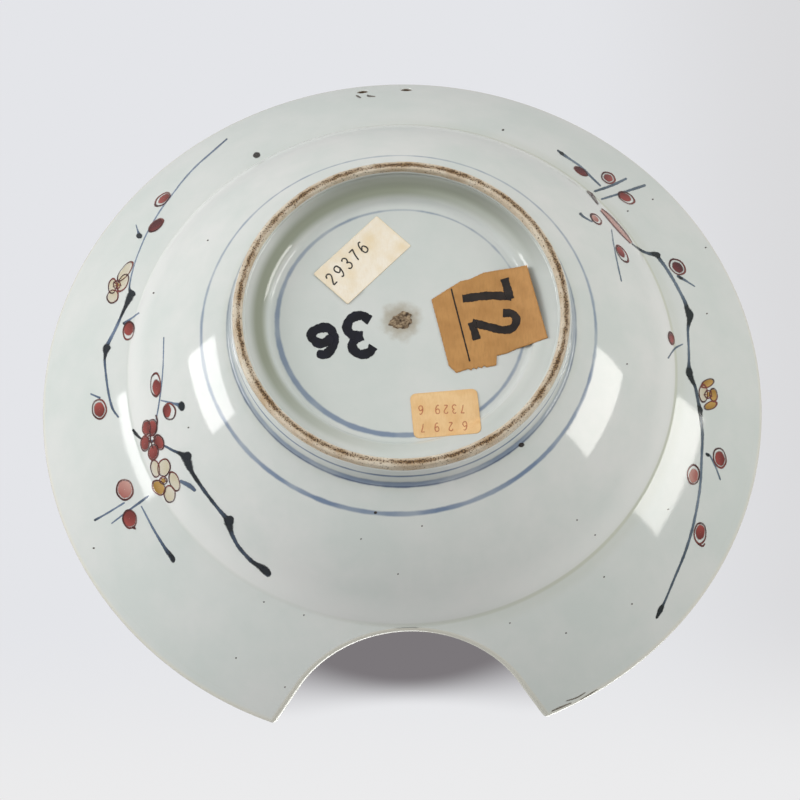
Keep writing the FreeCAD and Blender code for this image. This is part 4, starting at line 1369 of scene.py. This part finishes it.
def label_outline(node):
    """Outline of a CAD sheet, read from its mesh and put in order of bearing about its middle."""
    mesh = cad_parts[node].data
    flat = np.empty(len(mesh.vertices) * 3)
    mesh.vertices.foreach_get("co", flat)
    flat = flat.reshape(-1, 3) / MM
    low = flat[flat[:, 2] < flat[:, 2].min() + 0.02][:, :2]
    low = np.unique(np.round(low, 3), axis=0)
    middle = (low.min(0) + low.max(0)) / 2
    bearing = np.arctan2(low[:, 1] - middle[1], low[:, 0] - middle[0])
    return low[np.argsort(bearing)], middle


def paper_height(node, points):
    """Height of a paper's front at plan points: pressed flat, then rising away past an edge.

    Where it reaches over the shoulder of the recess it is bent up to lie on it.
    """
    middle, way, start, end, rise = PAPERS[node]["lift"]
    way = np.asarray(way) / np.hypot(*way)
    along = (points[..., 0] - middle[0]) * way[0] + (points[..., 1] - middle[1]) * way[1]
    share = np.clip((along - start) / (end - start), 0, 1)
    crinkle = 0.05 * np.sin(points[..., 0] * 0.9 + 1) * np.sin(points[..., 1] * 0.7)
    level = RECESS["depth"] - PAPERS[node]["thick"]
    height = level - rise * share ** 2 - 0.04 - crinkle * (0.4 + share)
    flat = np.concatenate([points[..., :2], np.full((*points.shape[:-1], 1), level)], -1)
    for _ in range(14):
        spot = along_sight(flat, height)
        under = np.interp(np.hypot(spot[..., 0], spot[..., 1]), *BASE_SECTION.T)
        height = np.minimum(height, under - PAPERS[node]["thick"] - 0.03)
    return height


def along_sight(points, height):
    """The same points moved along the camera's sight lines to another height.

    A paper that lifts at an edge stays in its place in the picture this way.
    """
    reach = (height - CAMERA_AT[2]) / (points[..., 2] - CAMERA_AT[2])
    return CAMERA_AT + (points - CAMERA_AT) * reach[..., None]


def paper_material(node, name, fibre_size):
    """Old paper: dull, matted fibres, foxed patches, and browner towards its handled edges."""
    tones = PAPERS[node]
    material, tree = new_material(name)
    place = add(tree, "ShaderNodeTexCoord", out="Object")
    patch = add(tree, "ShaderNodeTexNoise", {0: place, "Scale": 1 / (8 * MM), "Detail": 5.0})
    grain = {"Vector": place, "Rotation": (0, 0, 0.25), "Scale": (1, 0.22, 1)}
    stretch = add(tree, "ShaderNodeMapping", grain)
    fibre = add(
        tree, "ShaderNodeTexNoise", {0: stretch, "Scale": 1 / (fibre_size * MM), "Detail": 4.0}
    )
    edge = add(tree, "ShaderNodeAttribute", out="Fac", attribute_name="edge")
    foxing = add(tree, "ShaderNodeMapRange", {"Value": patch, "From Min": 0.42, "From Max": 0.7})
    worn = add(tree, "ShaderNodeMath", {0: edge, 1: foxing}, operation="MAXIMUM")
    ends = {"From Min": 0.45, "From Max": 0.75, "To Max": 0.3}
    thread = add(tree, "ShaderNodeMapRange", {"Value": fibre, **ends})
    tint = colour(tones["tint"])
    for share, key in ((worn, "stain"), (thread, "fibre")):
        mark = colour(tones[key])
        tint = add(tree, "ShaderNodeMix", {0: share, 6: tint, 7: mark}, 2, data_type="RGBA")
    bump = add(tree, "ShaderNodeBump", {"Strength": 0.5, "Distance": 0.05 * MM, "Height": fibre})
    looks = {"Base Color": tint, "Roughness": 0.72, "IOR": 1.45, "Normal": bump}
    shader = add(tree, "ShaderNodeBsdfPrincipled", looks)
    add(tree, "ShaderNodeOutputMaterial", {"Surface": shader})
    return material


def paper_sheet(node, slot, fibre_size, raggedness):
    """Closed thin sheet inside a CAD label's outline: front rings, a cut edge and a back."""
    outline, middle = label_outline(node)
    closed = np.concatenate([outline, outline[:1]])
    length = np.concatenate([[0], np.cumsum(np.hypot(*np.diff(closed, axis=0).T))])
    stops = np.linspace(0, length[-1], int(length[-1] / 0.35), endpoint=False)
    stops = np.unique(np.round(np.concatenate([stops, length[:-1]]), 3))
    edge = np.stack([np.interp(stops, length, closed[:, k]) for k in range(2)], -1)
    inward = (middle - edge) / np.linalg.norm(middle - edge, axis=1)[:, None]
    ragged = np.sin(stops * 5.3) * np.sin(stops * 2.1 + 1) + 0.5 * np.sin(stops * 11.7)
    edge = edge + inward * (raggedness * (0.5 + 0.5 * ragged))[:, None]
    shares = np.concatenate([[1, 0.985], np.linspace(0.96, 0.03, 36)])
    front = middle + (edge - middle)[None] * shares[:, None, None]
    height = paper_height(node, front)
    height[0] += PAPERS[node]["thick"] * 0.3
    level = np.full(height.shape, RECESS["depth"] - PAPERS[node]["thick"])
    top = along_sight(np.concatenate([front, level[..., None]], -1), height)
    back = top[::-1] + (0, 0, PAPERS[node]["thick"])
    spokes = len(edge)
    points = np.concatenate([back.reshape(-1, 3), top.reshape(-1, 3)])
    centre_height = paper_height(node, middle)
    tips = np.array(
        [[*middle, centre_height + PAPERS[node]["thick"]], [*middle, centre_height]], float
    )
    points = np.concatenate([points, tips])
    rings = 2 * len(shares)
    index = np.arange(rings * spokes).reshape(rings, spokes)
    after = np.roll(index, -1, axis=1)
    quads = np.stack([index[:-1], after[:-1], after[1:], index[1:]], -1).reshape(-1, 4)
    first_tip = np.full(spokes, rings * spokes)
    start_fan = np.stack([first_tip, after[0], index[0]], -1)
    end_fan = np.stack([index[-1], after[-1], first_tip + 1], -1)
    browned = np.clip((np.concatenate([shares[::-1], shares]) - 0.93) / 0.07, 0, 1) * 0.7
    sheet = lay_mesh(
        node + "_paper",
        points,
        quads.tolist() + start_fan.tolist() + end_fan.tolist(),
        paper_material(node, slot, fibre_size),
        {"edge": np.append(np.repeat(browned, spokes), [0, 0])},
    )
    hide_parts(node)
    return sheet


paper_sheet("cream_label", "cream_paper", 0.5, 0.05)
paper_sheet("buff_label", "buff_paper", 0.5, 0.05)
paper_sheet("torn_label", "brown_paper", 0.7, 0.18)


# Plain numbers on the papers and two on the glaze: pen, printer's black and a faint red type
# on the labels, and thick ink brushed on the base. Only the figures 2, 3, 6, 7 and 9 are used.
FIGURES = {
    "2": [[(0.08, 1.2), (0.22, 1.5), (0.55, 1.6), (0.88, 1.4), (0.86, 1.05), (0.55, 0.62),
           (0.1, 0.06)], [(0.08, 0.05), (0.5, 0.05), (0.95, 0.05)]],
    "3": [[(0.1, 1.35), (0.3, 1.57), (0.65, 1.57), (0.88, 1.25), (0.72, 0.93), (0.42, 0.85)],
          [(0.42, 0.85), (0.8, 0.74), (0.95, 0.42), (0.75, 0.08), (0.35, 0.02), (0.06, 0.28)]],
    "6": [[(0.85, 1.45), (0.52, 1.6), (0.2, 1.25), (0.06, 0.6), (0.1, 0.4)],
          [(0.06, 0.6), (0.2, 0.12), (0.55, 0.02), (0.88, 0.2), (0.92, 0.55), (0.86, 0.7)],
          [(0.92, 0.5), (0.7, 0.88), (0.4, 0.88), (0.12, 0.6)]],
    "7": [[(0.06, 1.56), (0.5, 1.56), (1.0, 1.56)], [(0.9, 1.62), (0.58, 0.85), (0.4, 0.0)]],
}
FIGURES["9"] = [[(1 - x, 1.6 - y) for x, y in line] for line in FIGURES["6"]]


def figure(character, corner, reading, width, height, thick, square=False):
    """Strokes of one figure: corner is its lower left, reading the way the line runs."""
    reading = np.asarray(reading, float) / np.hypot(*reading)
    upwards = np.array([reading[1], -reading[0]])
    marks = []
    for line in FIGURES[character]:
        knots = [
            (*(np.asarray(corner) + reading * x * width + upwards * y * height / 1.6), thick, 0.7)
            for x, y in line
        ]
        marks.append(stroke(knots, step=0.8, square=square))
    return marks


def number(characters, corner, reading, width, height, thick, pitch):
    """Strokes of a row of figures, each a pitch further on than the last."""
    way = np.asarray(reading, float) / np.hypot(*reading)
    marks = []
    for place, character in enumerate(characters):
        if character != " ":
            start = np.asarray(corner) + way * pitch * place
            marks += figure(character, start, reading, width, height, thick)
    return marks


def ink_material(name, wash, full, roughness, hardness, cover):
    """Ink over paper or glaze: solid in its strokes and thin at their edges."""
    material, tree = new_material(name)
    place = add(tree, "ShaderNodeTexCoord", out="Object")
    amount = stroke_cover(tree, place, 0.3, 0.45, hardness, cover)
    load = add(tree, "ShaderNodeTexNoise", {0: place, "Scale": 1 / (3.5 * MM), "Detail": 2.0})
    depth = add(tree, "ShaderNodeMapRange", {"Value": load, "From Min": 0.35, "From Max": 0.65})
    tones = {6: colour(wash), 7: colour(full)}
    paint = add(tree, "ShaderNodeMix", {0: depth, **tones}, 2, data_type="RGBA")
    looks = {"Roughness": roughness, "IOR": 1.45, "Alpha": amount}
    shader = add(tree, "ShaderNodeBsdfPrincipled", {"Base Color": paint, **looks})
    add(tree, "ShaderNodeOutputMaterial", {"Surface": shader})
    return material


def onto_paper(node):
    """A function that lays picture points on one paper's front."""
    def lay(pixels, lift):
        flat = onto_plane(pixels, RECESS["depth"] - PAPERS[node]["thick"])
        return along_sight(flat, paper_height(node, flat)) - np.array([0, 0, lift])
    return lay


def onto_base(pixels, lift):
    """Picture points laid on the glazed base."""
    return onto_plane(pixels, RECESS["depth"]) - np.array([0, 0, lift])


CARD_READING = (0.28, 0.96)
painted(
    "card_figures",
    figure("7", (460.0, 290.0), CARD_READING, 23.0, 47.0, 8.2, True)
    + figure("2", (470.0, 321.0), CARD_READING, 21.0, 45.0, 8.0, True)
    + [stroke([(451.0, 288.0, 1.5, 1), (460.5, 325.0, 1.5, 1), (470.0, 362.0, 1.5, 1)])],
    ink_material("printers_black", "#2A2320", "#1A1513", 0.6, 0.12, 0.97),
    onto_paper("torn_label"),
    0.05,
)
painted(
    "pen_figures",
    number("29376", (333.5, 286.0), (0.70, -0.71), 6.4, 12.5, 1.4, 11.2),
    ink_material("pen_ink", "#3A3836", "#262424", 0.6, 0.35, 0.95),
    onto_paper("cream_label"),
    0.05,
)
painted(
    "type_figures",
    number("7329 6", (465.0, 404.5), (-1.0, 0.03), 4.6, 8.6, 1.0, 8.4)
    + number("6297", (467.0, 421.5), (-1.0, 0.05), 4.6, 8.6, 1.0, 14.0),
    ink_material("red_type", "#D08A62", "#C4714F", 0.7, 0.35, 0.7),
    onto_paper("buff_label"),
    0.05,
)
painted(
    "base_figures",
    figure("3", (370.5, 313.5), (-0.985, 0.17), 27.0, 39.0, 9.4, True)
    + figure("6", (334.0, 325.5), (-0.985, 0.17), 26.0, 27.0, 9.4),
    ink_material("brushed_ink", "#10111F", "#0A0B14", 0.4, 0.12, 1.0),
    onto_base,
    0.04,
)


# The studio: a pale table under the rim, which carries painted shade, and a pale floor under the foot,
# each seen from one side only, two soft boxes beside the camera, a broad one above the mouth, and pale
# air.
BACKDROP_HEIGHT = 82.6
# Tones of the table: plain, a painted shadow towards the right, painted light towards the front, and
# the painted shade under the bowl.
TABLE_TONES = {"plain": "#E4E5E9", "right": "#DADADC", "front": "#EBEBEC", "shade": "#7B777A"}
# The shade in the notch starts and ends on two curves: bow per metre, and level at the middle.
NOTCH_SHADE = ((-3.3, -122.5), (7.8, -110.5))
LAMP_DISTANCE = 1.6
AIR = 0.5


def stage_plane(name, height, half, material):
    """Level square that isn't part of the bowl."""
    mesh = bpy.data.meshes.new(name)
    corners = [(-half, -half), (half, -half), (half, half), (-half, half)]
    mesh.from_pydata([(x, y, height * MM) for x, y in corners], [], [(0, 1, 2, 3)])
    mesh.materials.append(material)
    plane = bpy.data.objects.new(name, mesh)
    bpy.context.scene.collection.objects.link(plane)
    return plane


def one_sided(tree, shader, from_above):
    """Show a shader to the camera from one side only; everything else passes through."""
    camera_ray = add(tree, "ShaderNodeLightPath", out="Is Camera Ray")
    back = add(tree, "ShaderNodeNewGeometry", out="Backfacing")
    if from_above:
        back = add(tree, "ShaderNodeMath", {0: 1.0, 1: back}, operation="SUBTRACT")
    seen = add(tree, "ShaderNodeMath", {0: camera_ray, 1: back}, operation="MULTIPLY")
    clear = add(tree, "ShaderNodeBsdfTransparent")
    both = add(tree, "ShaderNodeMixShader", {0: seen, 1: clear, 2: shader})
    add(tree, "ShaderNodeOutputMaterial", {"Surface": both})


def table_material():
    """Pale table under the rim, with the dark space under the bowl painted as a soft shade, a painted
    shadow towards the right and painted light towards the front.
    """
    material, tree = new_material("pale_table")
    place = add(tree, "ShaderNodeTexCoord", out="Object")
    x, y = (add(tree, "ShaderNodeSeparateXYZ", {0: place}, axis) for axis in ("X", "Y"))
    flat = add(tree, "ShaderNodeVectorMath", {0: place, 1: (1, 1, 0)}, operation="MULTIPLY")
    radius = add(tree, "ShaderNodeVectorMath", {0: flat}, "Value", operation="LENGTH")
    across = add(tree, "ShaderNodeMath", {0: x, 1: x}, operation="MULTIPLY")
    start, end = (
        add(tree, "ShaderNodeMath", {0: across, 1: bow, 2: level * MM}, operation="MULTIPLY_ADD")
        for bow, level in NOTCH_SHADE
    )
    to_right, to_front, under, inwards = (
        add(
            tree,
            "ShaderNodeMapRange",
            {"Value": value, "From Min": first, "From Max": last},
            interpolation_type="SMOOTHSTEP",
        )
        for value, first, last in (
            (x, -60 * MM, -170 * MM),
            (y, -80 * MM, -160 * MM),
            (radius, 137 * MM, 129 * MM),
            (y, start, end),
        )
    )
    shade = add(tree, "ShaderNodeMath", {0: under, 1: inwards}, operation="MULTIPLY")
    tone = colour(TABLE_TONES["plain"])
    for share, key in ((to_right, "right"), (to_front, "front"), (shade, "shade")):
        next_tone = colour(TABLE_TONES[key])
        tone = add(tree, "ShaderNodeMix", {0: share, 6: tone, 7: next_tone}, 2, data_type="RGBA")
    glow = add(tree, "ShaderNodeEmission", {"Color": tone, "Strength": 1.0})
    one_sided(tree, glow, False)
    return material


def floor_material():
    """Pale matt floor that takes the bowl's shadow."""
    material, tree = new_material("pale_floor")
    place = add(tree, "ShaderNodeTexCoord", out="Object")
    cloud = add(tree, "ShaderNodeTexNoise", {0: place, "Scale": 6.0, "Detail": 2.0})
    tones = {6: colour("#E6E6E9"), 7: colour("#E2E2E5")}
    tone = add(tree, "ShaderNodeMix", {0: cloud, **tones}, 2, data_type="RGBA")
    matt = add(tree, "ShaderNodeBsdfDiffuse", {"Color": tone})
    one_sided(tree, matt, True)
    return material


stage_plane("pale_table", BACKDROP_HEIGHT, 3.0, table_material())
stage_plane("pale_floor", 0.0, 3.0, floor_material())


def lamp_direction(side, rise):
    """Unit vector towards a lamp at angles right of and above the camera, seen from the bowl."""
    side, rise = math.radians(side), math.radians(rise)
    level = math.sin(side) * RIGHT - math.cos(side) * LOOK
    return math.cos(rise) * level + math.sin(rise) * UP


def soft_box(name, way, spin, size, radiance, tint, mirrored=True):
    """Square lamp that faces the bowl's middle; mirrored is off where the glaze doesn't show it."""
    data = bpy.data.lights.new(name, "AREA")
    data.shape = "RECTANGLE"
    data.size, data.size_y = size
    data.energy = radiance * math.pi * size[0] * size[1]
    data.color = tint
    lamp = bpy.data.objects.new(name, data)
    bpy.context.scene.collection.objects.link(lamp)
    way = Vector(way).normalized()
    across = Vector(UP).cross(way).normalized()
    turn = Matrix((across, way.cross(across), way)).transposed().to_4x4()
    place = Matrix.Translation(way * LAMP_DISTANCE + Vector((0, 0, 0.04)))
    lamp.matrix_world = place @ turn @ Matrix.Rotation(math.radians(spin), 4, "Z")
    lamp.visible_camera = False
    lamp.visible_glossy = mirrored
    return lamp


soft_box("left_soft_box", lamp_direction(-68.8, 16.9), 40, (0.44, 0.72), 7.4, (1.0, 0.99, 0.99))
soft_box("right_soft_box", lamp_direction(69.5, 11.2), -42, (0.46, 0.84), 7.0, (1.0, 0.98, 0.93))
soft_box("left_fill", lamp_direction(-74, 12), 0, (1.2, 1.2), 2.0, (1.0, 0.99, 0.985), False)
soft_box("upper_fill", lamp_direction(25, 45), 0, (1.2, 1.2), 0.95, (1.0, 0.985, 0.95), False)
soft_box("mouth_soft_box", (-0.35, -0.55, 1.0), 0, (1.1, 1.1), 4.4, (1.0, 1.0, 1.0))

world = bpy.data.worlds.new("pale_air")
bpy.context.scene.world = world
world.use_nodes = True
world.node_tree.nodes.clear()
air = world.node_tree
seen_by_camera = add(air, "ShaderNodeLightPath", out="Is Camera Ray")
way = add(air, "ShaderNodeTexCoord", out="Generated")
brighter = tuple(UP * 0.5 - RIGHT * 0.4)
rise = add(air, "ShaderNodeVectorMath", {0: way, 1: brighter}, "Value", operation="DOT_PRODUCT")
ends = {"From Min": -1.0, "From Max": 1.0, "To Min": AIR * 0.75, "To Max": AIR * 1.25}
level = add(air, "ShaderNodeMapRange", {"Value": rise, **ends})
light = add(air, "ShaderNodeBackground", {"Color": (1, 1, 1, 1), "Strength": level})
pale = add(air, "ShaderNodeBackground", {"Color": colour("#E6E7EA"), "Strength": 1.0})
both = add(air, "ShaderNodeMixShader", {0: seen_by_camera, 1: light, 2: pale})
add(air, "ShaderNodeOutputWorld", {"Surface": both})

bpy.context.scene.view_settings.view_transform = "Standard"
